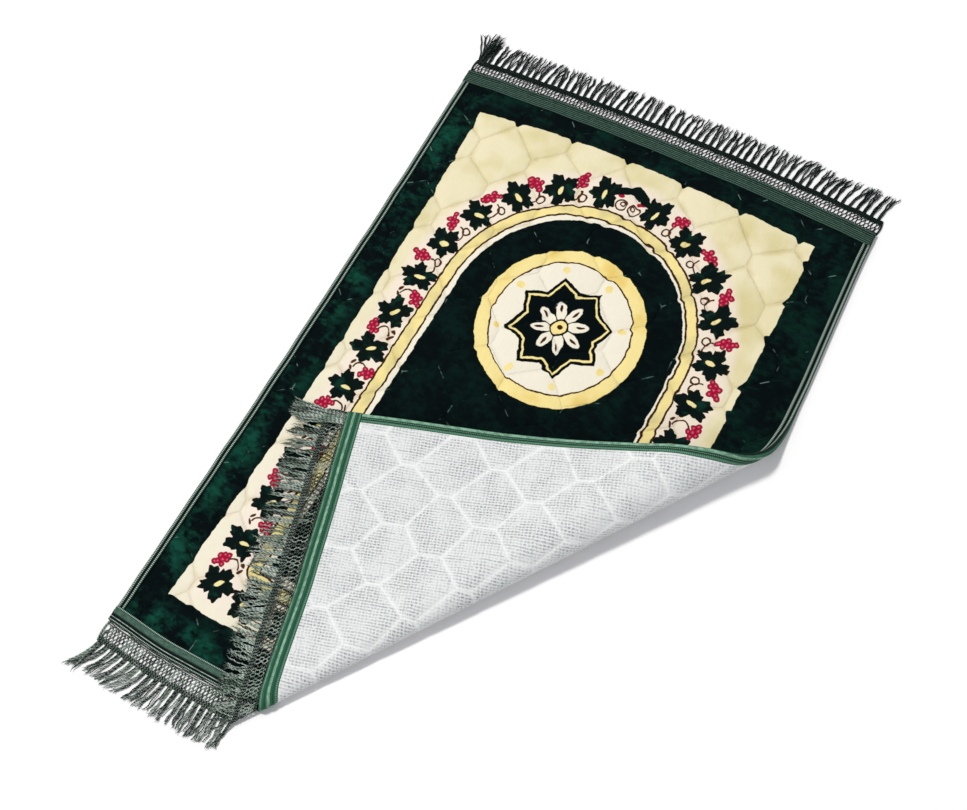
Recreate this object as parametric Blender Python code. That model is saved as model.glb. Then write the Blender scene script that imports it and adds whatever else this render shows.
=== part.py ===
"""Quilted prayer rug with one corner folded over, showing its white backing.

The rug is laid out flat first: X across its width, Y along its length with the arch towards
+Y, and Z through its thickness, with 0 in the middle of the padding. Every piece is made in
that flat layout, is drawn a little out of square as the real rug is, is creased along the
lines of the fold, and is then carried over the fold. All sizes are in metres.
"""

import math
from collections import namedtuple

import bmesh
import bpy
import numpy as np
from mathutils import Vector

# ---------------------------------------------------------------- driving sizes
RUG_WIDTH = 0.700
RUG_LENGTH = 1.026
PAD_THICKNESS = 0.010
CLEARANCE = 0.0005
CUT_SNAP = 0.00005

# The quilting: hexagons with upright short sides, each corner a little out of place.
CELL_WIDTH = 0.095
CELL_SIDE = 0.028
CELL_RISE = 0.039
CELL_SHIFT = (-0.030, 0.320)
CORNER_WANDER = 0.006
SEAM_SLOPE = 0.014
SEAM_TOP = 0.0020
SHOULDER_TOP = 0.0042
BACK_RELIEF = 0.35

# The tape that wraps the edge, on both faces.
TAPE_THICKNESS = 0.0010
SIDE_TAPE_WIDTH = 0.013
END_TAPE_WIDTH = 0.023
EDGE_TOP = 0.0023
TAPE_LOW = -PAD_THICKNESS / 2
EDGE_LOW = TAPE_LOW + TAPE_THICKNESS + CLEARANCE
TAPE_HIGH = EDGE_TOP + CLEARANCE + TAPE_THICKNESS
RIB_HEIGHT = 0.0007
RIB_COUNT = 3

# The fringe: a cord, an open net, a braid and then the strands, splayed at both corners.
Trim = namedtuple("Trim", "side cord net braid strand splay_left splay_right")
TRIMS = {
    "fringe_bottom": Trim(-1, 0.006, 0.023, 0.007, 0.045, 0.022, 0.012),
    "fringe_top": Trim(1, 0.003, 0.016, 0.006, 0.041, 0.008, 0.008),
}
STRAND_COUNT = 60
STRAND_WIDTH = 0.0048
TIP_WIDTH = 0.0030
TRIM_THICKNESS = 0.0020
TIP_LEAN = 0.0018
TIP_UNEVEN = 0.003
SPLAY_SPREAD = 1.6

# How far out of square the rug is.
LEFT_BOW = 0.005
RIGHT_BOW = 0.010
RIGHT_WIDENING = 0.012
TOP_BOW = 0.006
BOTTOM_SKEW = 0.008

# The fold: its line, and the roll's radius at two places along it.
FOLD_ANGLE = math.radians(53.7)
FOLD_DISTANCE = 0.241
NARROW_END = -0.44
WIDE_END = 0.30
NARROW_RADIUS = 0.014
WIDE_RADIUS = 0.060
ROLL_FORM = 1.15
DESCENT_LENGTH = 0.22
FLAP_GAP = 0.002
FLAP_REST = PAD_THICKNESS + FLAP_GAP
FLAP_REACH = 0.60
ROLL_CREASES = (0.0, 0.14, 0.24, 0.32, 0.39, 0.45, 0.51, 0.57, 0.63, 0.70, 0.79, 0.89, 1.0)
DESCENT_CREASES = (0.2, 0.4, 0.6, 0.8, 1.0)

HALF_WIDTH = RUG_WIDTH / 2
HALF_LENGTH = RUG_LENGTH / 2
PAD_INSET = TAPE_THICKNESS + CLEARANCE

COLOURS = {
    "rug_pad": (0.012, 0.050, 0.040),
    "binding": (0.10, 0.21, 0.15),
    "heading": (0.16, 0.27, 0.21),
    "fringe": (0.15, 0.20, 0.18),
}


# ---------------------------------------------------------------- out of square
def smooth(value):
    """A soft step from 0 to 1."""
    value = min(max(value, 0.0), 1.0)
    return value * value * (3 - 2 * value)


def draw_out_of_square(bm):
    """Bow the sides and the far end, widen the right side and skew the near end."""
    for vert in bm.verts:
        across = (vert.co.x / HALF_WIDTH + 1) / 2
        along = vert.co.y / HALF_LENGTH
        bow = max(1 - along ** 2, 0)
        widening = RIGHT_WIDENING * smooth((0.5 - vert.co.y) / 0.4) * across ** 2
        end_bow = TOP_BOW * (1 - (vert.co.x / HALF_WIDTH) ** 2) * smooth((vert.co.y - 0.1) / 0.4)
        skew = BOTTOM_SKEW * across * smooth((0.2 - vert.co.y) / 0.6)
        vert.co.x += (LEFT_BOW + (RIGHT_BOW - LEFT_BOW) * across) * bow + widening
        vert.co.y += end_bow + skew


# ---------------------------------------------------------------- the fold
ALONG = np.array([math.cos(FOLD_ANGLE), math.sin(FOLD_ANGLE)])
OUTWARD = np.array([math.sin(FOLD_ANGLE), -math.cos(FOLD_ANGLE)])


def ease(values):
    """Turning from 0 to 1 whose curvature starts and ends at nothing."""
    values = np.clip(values, 0, 1)
    return values - np.sin(2 * np.pi * values) / (2 * np.pi)


def running_sum(values, step):
    """The integral of evenly spaced values, from the first one on."""
    return np.concatenate([[0], np.cumsum((values[1:] + values[:-1]) / 2) * step])


def fold_section(radius):
    """The fold cut across: rows of flat distance, place, height and surface normal.

    The cloth leaves the floor, turns back over in a roll, comes down at a slope and then lies
    level on the rug. The slope is the one that brings it to its resting height.
    """
    roll = ROLL_FORM * math.pi * radius
    arc = np.linspace(0, FLAP_REACH, 1201)
    step = arc[1] - arc[0]

    def turning(slope):
        over = (math.pi + slope) * ease(arc / roll)
        return over - slope * ease((arc - roll) / DESCENT_LENGTH)

    low, high = 0.0, 1.0
    for _ in range(40):
        slope = (low + high) / 2
        if running_sum(np.sin(turning(slope)), step)[-1] > FLAP_REST:
            low = slope
        else:
            high = slope
    turn = turning(slope)
    place = running_sum(np.cos(turn), step)
    height = running_sum(np.sin(turn), step)
    lift_off = FOLD_DISTANCE - (FLAP_REACH + place[-1]) / 2
    stops = [roll * part for part in ROLL_CREASES]
    stops += [roll + DESCENT_LENGTH * part for part in DESCENT_CREASES]
    rows = [np.interp(stops, arc, row) for row in (arc, place, height, -np.sin(turn), np.cos(turn))]
    rows[0] += lift_off
    rows[1] += lift_off
    return np.array(rows)


NARROW_SECTION = fold_section(NARROW_RADIUS)
WIDE_SECTION = fold_section(WIDE_RADIUS)


def section_at(along):
    """The fold's section at a distance along it, between the two that are given."""
    part = (along - NARROW_END) / (WIDE_END - NARROW_END)
    return NARROW_SECTION + (WIDE_SECTION - NARROW_SECTION) * part


def surface_at(x, y):
    """Where a point of the flat cloth comes to lie: place, height and normal, in the section."""
    along = x * ALONG[0] + y * ALONG[1]
    out = x * OUTWARD[0] + y * OUTWARD[1]
    flat, place, height, lean, level = section_at(along)
    if out <= flat[0]:
        return along, out, 0.0, 0.0, 1.0
    if out >= flat[-1]:
        return along, 2 * FOLD_DISTANCE - out, FLAP_REST, 0.0, -1.0
    return (along,) + tuple(np.interp(out, flat, row) for row in (place, height, lean, level))


def folded(x, y, layer):
    """The folded place of a point that is the height layer above the middle of the cloth."""
    along, place, height, lean, level = surface_at(x, y)
    spot = ALONG * along + OUTWARD * (place + lean * layer)
    return Vector((spot[0], spot[1], PAD_THICKNESS / 2 + height + level * layer))


def crease(bm):
    """Cut a flat piece along every crease line of the fold."""
    for number in range(NARROW_SECTION.shape[1]):
        start = ALONG * NARROW_END + OUTWARD * NARROW_SECTION[0][number]
        end = ALONG * WIDE_END + OUTWARD * WIDE_SECTION[0][number]
        normal = Vector((end[1] - start[1], start[0] - end[0], 0)).normalized()
        bmesh.ops.bisect_plane(
            bm,
            geom=bm.verts[:] + bm.edges[:] + bm.faces[:],
            dist=CUT_SNAP,
            plane_co=(start[0], start[1], 0),
            plane_no=normal,
        )


def fold_over(bm):
    """Carry every point of a creased flat piece over the fold."""
    for vert in bm.verts:
        vert.co = folded(*vert.co)


# ---------------------------------------------------------------- objects and materials
def make_material(name, colour, roughness):
    """A plain cloth finish."""
    material = bpy.data.materials.new(name)
    material.use_nodes = True
    shader = material.node_tree.nodes["Principled BSDF"]
    shader.inputs["Base Color"].default_value = (*colour, 1)
    shader.inputs["Roughness"].default_value = roughness
    shader.inputs["Metallic"].default_value = 0
    return material


def make_object(name, bm, material):
    """Turn finished mesh work into a named object."""
    bmesh.ops.recalc_face_normals(bm, faces=bm.faces[:])
    mesh = bpy.data.meshes.new(name)
    bm.to_mesh(mesh)
    bm.free()
    mesh.materials.append(material)
    piece = bpy.data.objects.new(name, mesh)
    bpy.context.collection.objects.link(piece)
    return piece


# ---------------------------------------------------------------- the quilted pad
def quilt_corner(column, row, end):
    """A corner of the quilting: one end of an upright side, moved a little out of place."""
    x = CELL_SHIFT[0] + (column + (row % 2) / 2) * CELL_WIDTH
    y = CELL_SHIFT[1] + row * (CELL_SIDE + CELL_RISE) + end * CELL_SIDE / 2
    seed = 12.9 * column + 7.3 * row + 3.1 * end
    return (
        x + CORNER_WANDER * math.sin(seed),
        y + CORNER_WANDER * math.sin(1.7 * seed + 1.0),
        SEAM_TOP,
    )


def quilted_sheet():
    """The plush face: every hexagon slopes up from its seams to a shoulder and a crown."""
    bm = bmesh.new()
    corners = {}

    def corner(column, row, end):
        key = (column, row, end)
        if key not in corners:
            corners[key] = bm.verts.new(quilt_corner(column, row, end))
        return corners[key]

    for row in range(-14, 6):
        shift = row % 2
        for column in range(-5, 6):
            bm.faces.new((
                corner(column, row, -1),
                corner(column + shift, row - 1, 1),
                corner(column + 1, row, -1),
                corner(column + 1, row, 1),
                corner(column + shift, row + 1, -1),
                corner(column, row, 1),
            ))
    bm.normal_update()
    cells = bm.faces[:]
    bmesh.ops.inset_individual(bm, faces=cells, thickness=SEAM_SLOPE)
    for face in cells:
        for vert in face.verts:
            vert.co.z = SHOULDER_TOP
    crowns = bmesh.ops.poke(bm, faces=cells)["verts"]
    for vert in crowns:
        vert.co.z = PAD_THICKNESS / 2
    return bm


def trim_sheet(bm):
    """Cut the sheet to the pad's outline, and along the inner lines of the tapes."""
    for axis, half, tape in (
        (Vector((1, 0, 0)), HALF_WIDTH, SIDE_TAPE_WIDTH),
        (Vector((0, 1, 0)), HALF_LENGTH, END_TAPE_WIDTH),
    ):
        for side in (-1, 1):
            for reach, clear in ((half - PAD_INSET, True), (half - tape - CLEARANCE, False)):
                bmesh.ops.bisect_plane(
                    bm,
                    geom=bm.verts[:] + bm.edges[:] + bm.faces[:],
                    dist=CUT_SNAP,
                    plane_co=axis * side * reach,
                    plane_no=axis * side,
                    clear_outer=clear,
                )


def under_tape(vert):
    """Whether a point of the pad lies under the tape at its edge."""
    margin = 1e-5
    return (
        abs(vert.co.x) > HALF_WIDTH - SIDE_TAPE_WIDTH - CLEARANCE - margin
        or abs(vert.co.y) > HALF_LENGTH - END_TAPE_WIDTH - CLEARANCE - margin
    )


def merge_flat_back(bm):
    """Join the level faces of the backing that lie on the floor into one."""
    floor = -PAD_THICKNESS / 2
    level = [face for face in bm.faces if all(abs(v.co.z - floor) < 1e-7 for v in face.verts)]
    edges = {edge for face in level for edge in face.edges}
    verts = {vert for face in level for vert in face.verts}
    bmesh.ops.dissolve_limit(bm, angle_limit=1e-4, verts=list(verts), edges=list(edges))


def build_pad(material):
    """The padded rug itself: plush face, filling and backing in one solid."""
    bm = quilted_sheet()
    trim_sheet(bm)
    for vert in bm.verts:
        if under_tape(vert):
            vert.co.z = EDGE_TOP
    back = bm.verts[:]
    edge = {vert for vert in back if under_tape(vert)}
    bmesh.ops.extrude_face_region(bm, geom=bm.faces[:])
    for vert in back:
        if vert in edge:
            vert.co.z = EDGE_LOW
            continue
        lifted = surface_at(vert.co.x, vert.co.y)[4] < 0.5
        relief = BACK_RELIEF * (PAD_THICKNESS / 2 - vert.co.z) if lifted else 0
        vert.co.z = relief - PAD_THICKNESS / 2
    merge_flat_back(bm)
    draw_out_of_square(bm)
    crease(bm)
    fold_over(bm)
    return make_object("rug_pad", bm, material)


# ---------------------------------------------------------------- the edge tapes
def tape_profile(width, ribs):
    """The tape cut across, as it wraps the edge: (distance in from the edge, height)."""
    thick = TAPE_THICKNESS
    turn = 0.0008
    face = [(width, 0.0)]
    for number in range(ribs):
        middle = width * (ribs - number) / (ribs + 1)
        half = width / (ribs + 1) * 0.3
        face += [(middle + half, 0.0), (middle, RIB_HEIGHT), (middle - half, 0.0)]
    face += [(turn, 0.0), (0.0, -turn)]
    upper = [(inward, TAPE_HIGH + rise) for inward, rise in face]
    plain = [(0.0, TAPE_LOW + turn), (turn, TAPE_LOW), (width, TAPE_LOW)]
    inner = [
        (width, TAPE_LOW + thick),
        (thick, TAPE_LOW + thick),
        (thick, TAPE_HIGH - thick),
        (width, TAPE_HIGH - thick),
    ]
    return upper + plain + inner


def build_tape(name, profile, start, end, inward, steps, material):
    """Run a tape's profile along one edge of the flat rug, then fold it."""
    bm = bmesh.new()
    ring = [bm.verts.new((*(start + inward * across), height)) for across, height in profile]
    cap = bm.faces.new(ring)
    stride = Vector((*(end - start), 0)) / steps
    for step in range(steps):
        last = cap
        grown = bmesh.ops.extrude_face_region(bm, geom=[last])["geom"]
        moved = [item for item in grown if isinstance(item, bmesh.types.BMVert)]
        cap = next(item for item in grown if isinstance(item, bmesh.types.BMFace))
        bmesh.ops.translate(bm, verts=moved, vec=stride)
        if step > 0:
            bmesh.ops.delete(bm, geom=[last], context="FACES_ONLY")
    draw_out_of_square(bm)
    crease(bm)
    fold_over(bm)
    return make_object(name, bm, material)


def build_side_tapes(material):
    """The binding along both long edges, between the end tapes."""
    profile = tape_profile(SIDE_TAPE_WIDTH, 2)
    reach = HALF_LENGTH - END_TAPE_WIDTH - CLEARANCE
    for name, side in (("binding_left", -1), ("binding_right", 1)):
        start = Vector((side * HALF_WIDTH, -reach))
        end = Vector((side * HALF_WIDTH, reach))
        build_tape(name, profile, start, end, Vector((-side, 0)), 18, material)


def build_end_tapes(material):
    """The wider ribbed heading across both ends."""
    profile = tape_profile(END_TAPE_WIDTH, RIB_COUNT)
    for name, side in (("heading_bottom", -1), ("heading_top", 1)):
        start = Vector((-HALF_WIDTH, side * HALF_LENGTH))
        end = Vector((HALF_WIDTH, side * HALF_LENGTH))
        build_tape(name, profile, start, end, Vector((0, -side)), 12, material)


# ---------------------------------------------------------------- the fringes
def strand_lean(trim, number):
    """How far a strand's tip leans sideways, with the corner ones splayed out."""
    left = trim.splay_left * math.exp(-number / SPLAY_SPREAD)
    right = trim.splay_right * math.exp((number - STRAND_COUNT + 1) / SPLAY_SPREAD)
    return TIP_LEAN * math.sin(2.4 * number) + right - left


def in_the_roll(x, reach):
    """Whether the near end's trim, this far out from the edge, is lifted by the fold."""
    return abs(surface_at(x, -HALF_LENGTH - reach)[4]) < 0.98


def lay_out_trim(bm, trim):
    """The trim flat: a grid whose net holes and gaps between strands are left open."""
    braid_end = trim.cord + trim.net + trim.braid
    rows = (0, trim.cord, trim.cord + trim.net, braid_end, braid_end + trim.strand)
    tip = len(rows) - 1
    lines = 2 * STRAND_COUNT
    span = RUG_WIDTH - STRAND_WIDTH
    grid = {}
    for line in range(lines):
        number = line // 2
        for row, out in enumerate(rows):
            width = TIP_WIDTH if row == tip else STRAND_WIDTH
            x = span * (number / (STRAND_COUNT - 1) - 0.5) + (line % 2 - 0.5) * width
            if row == tip:
                x += strand_lean(trim, number)
                out += TIP_UNEVEN * math.sin(1.3 * number)
            grid[line, row] = bm.verts.new((x, trim.side * (HALF_LENGTH + CLEARANCE + out), 0))
    for line in range(lines - 1):
        strand = line % 2 == 0
        lifted = trim.side < 0 and in_the_roll(grid[line, tip - 1].co.x, braid_end)
        for row in range(tip):
            net_hole = row == 1 and not strand
            open_end = row == tip - 1 and (lifted or not strand)
            if not net_hole and not open_end:
                bm.faces.new((grid[line, row], grid[line + 1, row],
                              grid[line + 1, row + 1], grid[line, row + 1]))
    loose = [vert for vert in bm.verts if not vert.link_faces]
    bmesh.ops.delete(bm, geom=loose, context="VERTS")


def lay_trim(bm, trim):
    """Carry the trim over the fold; the strands run on level from the braid's edge."""
    edge = trim.side * (HALF_LENGTH + CLEARANCE)
    braid_end = trim.cord + trim.net + trim.braid
    strands = {}
    for vert in bm.verts:
        reach = trim.side * (vert.co.y - edge)
        if reach > braid_end:
            strands[vert] = reach - braid_end
            vert.co.y = edge + trim.side * braid_end
    draw_out_of_square(bm)
    for vert in bm.verts:
        x, y, layer = vert.co
        level = surface_at(x, y)[4]
        vert.co = folded(x, y, (TAPE_LOW + TRIM_THICKNESS / 2) * level + layer)
        if vert in strands:
            course = ALONG * trim.side * ALONG[1] + OUTWARD * trim.side * OUTWARD[1] * level
            vert.co += Vector((*course, 0)).normalized() * strands[vert]


def build_fringe(name, trim, material):
    """One end's trim: cord, open net, braid and strands fused at their roots."""
    bm = bmesh.new()
    lay_out_trim(bm, trim)
    lower = bm.verts[:]
    bmesh.ops.extrude_face_region(bm, geom=bm.faces[:])
    for vert in bm.verts:
        vert.co.z = TRIM_THICKNESS / 2
    for vert in lower:
        vert.co.z = -TRIM_THICKNESS / 2
    crease(bm)
    lay_trim(bm, trim)
    return make_object(name, bm, material)


# ---------------------------------------------------------------- the whole rug
def main():
    for old in list(bpy.data.objects):
        bpy.data.objects.remove(old, do_unlink=True)
    velvet = make_material("velvet", COLOURS["rug_pad"], 0.9)
    binding = make_material("binding", COLOURS["binding"], 0.6)
    heading = make_material("heading", COLOURS["heading"], 0.6)
    yarn = make_material("yarn", COLOURS["fringe"], 0.85)
    build_pad(velvet)
    build_side_tapes(binding)
    build_end_tapes(heading)
    for name, trim in TRIMS.items():
        build_fringe(name, trim, yarn)


main()
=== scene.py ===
"""The looks of a quilted prayer rug that lies with one corner folded over.

Every piece is laid out flat first, as it was sewn: x across the rug, y along it towards the arch,
and z through its thickness, with 0 in the middle of the padding. It is then drawn a little out of
square and carried over the fold. The fold is that of the part's solids. The rug's ends are drawn a
few millimetres further out than theirs in places, and the turned-over corner's quilting is moved by
up to 15 millimetres. All sizes are in metres.
"""

import math
from collections import namedtuple
from dataclasses import dataclass

import bmesh
import bpy
import numpy as np
from mathutils import Matrix, Vector


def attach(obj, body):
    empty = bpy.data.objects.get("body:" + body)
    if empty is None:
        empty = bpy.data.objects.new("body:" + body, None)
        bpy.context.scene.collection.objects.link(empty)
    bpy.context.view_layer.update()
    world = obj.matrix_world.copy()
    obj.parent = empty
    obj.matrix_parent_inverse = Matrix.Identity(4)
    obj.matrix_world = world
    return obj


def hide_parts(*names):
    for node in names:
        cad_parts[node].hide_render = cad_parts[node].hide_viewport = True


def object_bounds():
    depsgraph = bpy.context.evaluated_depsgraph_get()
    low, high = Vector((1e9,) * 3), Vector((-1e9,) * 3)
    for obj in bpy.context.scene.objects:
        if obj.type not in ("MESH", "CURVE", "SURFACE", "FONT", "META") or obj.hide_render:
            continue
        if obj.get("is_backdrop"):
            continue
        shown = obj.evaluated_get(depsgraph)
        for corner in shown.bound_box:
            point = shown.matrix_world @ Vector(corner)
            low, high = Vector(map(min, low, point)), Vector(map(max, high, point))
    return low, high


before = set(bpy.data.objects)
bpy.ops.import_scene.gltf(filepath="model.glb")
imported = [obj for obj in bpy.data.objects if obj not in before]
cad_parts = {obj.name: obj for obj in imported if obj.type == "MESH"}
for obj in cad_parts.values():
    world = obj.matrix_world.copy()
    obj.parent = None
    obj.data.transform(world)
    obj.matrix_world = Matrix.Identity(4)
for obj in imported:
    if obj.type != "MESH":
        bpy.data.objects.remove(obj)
solids_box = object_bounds()

# ---------------------------------------------------------------- the rug's sizes
RUG_WIDTH = 0.700
RUG_LENGTH = 1.026
HALF_WIDTH = RUG_WIDTH / 2
HALF_LENGTH = RUG_LENGTH / 2
PAD_THICKNESS = 0.010
CLEARANCE = 0.0005
TAPE_THICKNESS = 0.0010
PAD_INSET = TAPE_THICKNESS + CLEARANCE
SIDE_TAPE_WIDTH = 0.013
END_TAPE_WIDTH = 0.023
EDGE_TOP = 0.0023
TAPE_LOW = -PAD_THICKNESS / 2
TAPE_HIGH = EDGE_TOP + CLEARANCE + TAPE_THICKNESS

# How far out of square the rug is. A span is where its drift starts and where it is whole.
LEFT_BOW = 0.005
RIGHT_BOW = 0.010
RIGHT_WIDENING = 0.012
WIDENING_SPAN = (0.5, 0.1)
TOP_BOW = 0.006
TOP_BOW_SPAN = (0.1, 0.5)
BOTTOM_SKEW = 0.008
SKEW_SPAN = (0.2, -0.4)
CREST_RISE = 0.002
CREST_FALL = 0.005
CREST_SPAN = (0.40, 0.48)
SAG = 0.005
SAG_PLACE = -0.25
SAG_WIDTH = 0.08
SAG_SPAN = (-0.43, -0.50)
HANG_SPAN = (-0.40, -0.49)
HANG_RETURN = (-0.560, -0.505)
HANG_SIDE = (0.10, -0.05)

# The fold.
FOLD_ANGLE = math.radians(53.7)
FOLD_DISTANCE = 0.241
NARROW_END = -0.44
WIDE_END = 0.30
NARROW_RADIUS = 0.014
WIDE_RADIUS = 0.060
ROLL_FORM = 1.15
DESCENT_LENGTH = 0.22
FLAP_GAP = 0.002
FLAP_REST = PAD_THICKNESS + FLAP_GAP
FLAP_REACH = 0.60
FLAP_POINTS = 1201
HALVINGS = 40
OFF_FLOOR_SPAN = (0.95, 0.15)
UPSIDE_DOWN_SPAN = (-0.4, -0.9)
ALONG = np.array([math.cos(FOLD_ANGLE), math.sin(FOLD_ANGLE)])
OUTWARD = np.array([math.sin(FOLD_ANGLE), -math.cos(FOLD_ANGLE)])


# ---------------------------------------------------------------- out of square, and the fold
def soft_step(values):
    """A soft step from 0 to 1."""
    values = np.clip(values, 0.0, 1.0)
    return values * values * (3 - 2 * values)


def ramp(values, start, end):
    """A soft step of values, 0 at start and 1 at end."""
    return soft_step((values - start) / (end - start))


def drawn(x, y):
    """Flat places drawn out of square: bowed sides and far end, wider right side, skewed near end."""
    across = (x / HALF_WIDTH + 1) / 2
    from_middle = (x / HALF_WIDTH) ** 2
    bow = np.maximum(1 - (y / HALF_LENGTH) ** 2, 0)
    widening = RIGHT_WIDENING * ramp(y, *WIDENING_SPAN) * across ** 2
    end_bow = TOP_BOW * (1 - from_middle) * ramp(y, *TOP_BOW_SPAN)
    skew = BOTTOM_SKEW * across * ramp(y, *SKEW_SPAN)
    crest = (CREST_RISE - CREST_FALL * from_middle) * ramp(y, *CREST_SPAN)
    hang = ramp(y, *HANG_SPAN) * ramp(y, *HANG_RETURN) * ramp(x, *HANG_SIDE)
    dip = np.exp(-((x - SAG_PLACE) / SAG_WIDTH) ** 2) * ramp(y, *SAG_SPAN)
    side_shift = (LEFT_BOW + (RIGHT_BOW - LEFT_BOW) * across) * bow + widening
    end_shift = end_bow + skew + crest - SAG * (hang + dip)
    return x + side_shift, y + end_shift


def ease(values):
    """Turning from 0 to 1 whose curvature starts and ends at nothing."""
    values = np.clip(values, 0, 1)
    return values - np.sin(2 * np.pi * values) / (2 * np.pi)


def running_sum(values, step):
    """The integral of evenly spaced values, from the first one on."""
    return np.concatenate([[0], np.cumsum((values[1:] + values[:-1]) / 2) * step])


class FoldSection:
    """The fold cut across, at one radius of its roll."""

    def __init__(self, radius):
        self.roll = ROLL_FORM * math.pi * radius
        arc = np.linspace(0, FLAP_REACH, FLAP_POINTS)
        step = arc[1] - arc[0]

        def turning(slope):
            over = (math.pi + slope) * ease(arc / self.roll)
            return over - slope * ease((arc - self.roll) / DESCENT_LENGTH)

        # The slope with which the flap comes down to its rest, by halving.
        low, high = 0.0, 1.0
        for _ in range(HALVINGS):
            slope = (low + high) / 2
            if running_sum(np.sin(turning(slope)), step)[-1] > FLAP_REST:
                low = slope
            else:
                high = slope
        turn = turning(slope)
        place = running_sum(np.cos(turn), step)
        self.lift_off = FOLD_DISTANCE - (FLAP_REACH + place[-1]) / 2
        self.arc = arc
        self.rows = (place + self.lift_off, running_sum(np.sin(turn), step), -np.sin(turn), np.cos(turn))

    def at(self, share):
        """Place, height and normal at a share of the way: 0 to 1 in the roll, 1 to 2 down the slope."""
        arc = np.minimum(share, 1) * self.roll + np.maximum(share - 1, 0) * DESCENT_LENGTH
        return [np.interp(arc, self.arc, row) for row in self.rows]


NARROW = FoldSection(NARROW_RADIUS)
WIDE = FoldSection(WIDE_RADIUS)


def surface_at(x, y):
    """Where points of the flat cloth come to lie: along the fold, and place, height and normal across it."""
    along = x * ALONG[0] + y * ALONG[1]
    out = x * OUTWARD[0] + y * OUTWARD[1]
    part = (along - NARROW_END) / (WIDE_END - NARROW_END)
    roll = NARROW.roll + (WIDE.roll - NARROW.roll) * part
    arc = out - NARROW.lift_off - (WIDE.lift_off - NARROW.lift_off) * part
    share = np.clip(np.where(arc < roll, arc / roll, 1 + (arc - roll) / DESCENT_LENGTH), 0, 2)
    rows = [a + (b - a) * part for a, b in zip(NARROW.at(share), WIDE.at(share))]
    flat = arc <= 0
    over = share >= 2
    rest = (out, 0.0, 0.0, 1.0)
    turned_back = (2 * FOLD_DISTANCE - out, FLAP_REST, 0.0, -1.0)
    return [along] + [np.where(flat, a, np.where(over, b, row)) for row, a, b in zip(rows, rest, turned_back)]


def level_at(x, y):
    """Which way the cloth's face looks at flat places: 1 up, 0 sideways and -1 down."""
    return surface_at(x, y)[4]


def off_floor(level):
    """1 where the back has turned away from the floor, and 0 where it lies on it."""
    return ramp(level, *OFF_FLOOR_SPAN)


def upside_down(level):
    """1 where the cloth is turned over, and 0 where it isn't yet."""
    return ramp(level, *UPSIDE_DOWN_SPAN)


def folded(x, y, layer):
    """The folded places of points that are the height layer above the middle of the cloth."""
    along, place, height, lean, level = surface_at(x, y)
    spot = ALONG * along[:, None] + OUTWARD * (place + lean * layer)[:, None]
    return np.column_stack([spot, PAD_THICKNESS / 2 + height + level * layer])


# ---------------------------------------------------------------- meshes
def cloth_noise(x, y, size, seed):
    """Soft random relief from -1 to 1, with bumps about size across."""
    # The numbers below only have to be uneven and large, so that the knots' heights are mixed well.
    u = np.asarray(x) / size + 17.3 * seed
    v = np.asarray(y) / size - 9.1 * seed
    column, row = np.floor(u), np.floor(v)
    total = 0.0
    for i in (0, 1):
        for j in (0, 1):
            knot = np.sin((column + i) * 127.1 + (row + j) * 311.7 + seed * 74.7) * 43758.5453
            knot = 2 * (knot - np.floor(knot)) - 1
            weight_u = soft_step(1 - np.abs(u - column - i))
            weight_v = soft_step(1 - np.abs(v - row - j))
            total = total + knot * weight_u * weight_v
    return total


def make_piece(name, places, faces, materials, looks=None, flat_map=None, marks=None):
    """A mesh object from its points and faces, with a flat map and named marks for its points."""
    mesh = bpy.data.meshes.new(name)
    mesh.from_pydata(places.tolist(), [], faces)
    mesh.update()
    for material in materials:
        mesh.materials.append(material)
    if looks is not None:
        mesh.polygons.foreach_set("material_index", looks)
    mesh.polygons.foreach_set("use_smooth", [True] * len(mesh.polygons))
    corners = np.zeros(len(mesh.loops), dtype=np.int32)
    mesh.loops.foreach_get("vertex_index", corners)
    if flat_map is not None:
        layer = mesh.uv_layers.new(name="flat")
        layer.data.foreach_set("uv", flat_map[corners].astype(np.float32).ravel())
    for mark_name, values in (marks or {}).items():
        attribute = mesh.attributes.new(mark_name, "FLOAT", "POINT")
        attribute.data.foreach_set("value", values.astype(np.float32))
    piece = bpy.data.objects.new(name, mesh)
    bpy.context.scene.collection.objects.link(piece)
    return piece


def place_piece(piece, node):
    """Let a piece stand for its solid, which is hidden, and move with the rug."""
    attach(piece, "root")
    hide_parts(node)


# ---------------------------------------------------------------- dyes and node work
def dye(red, green, blue):
    """A colour as it is seen, from 0 to 255, turned into the linear colour of a shader."""
    shares = [value / 255 for value in (red, green, blue)]
    linear = [s / 12.92 if s <= 0.04045 else ((s + 0.055) / 1.055) ** 2.4 for s in shares]
    return (*linear, 1.0)


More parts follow.
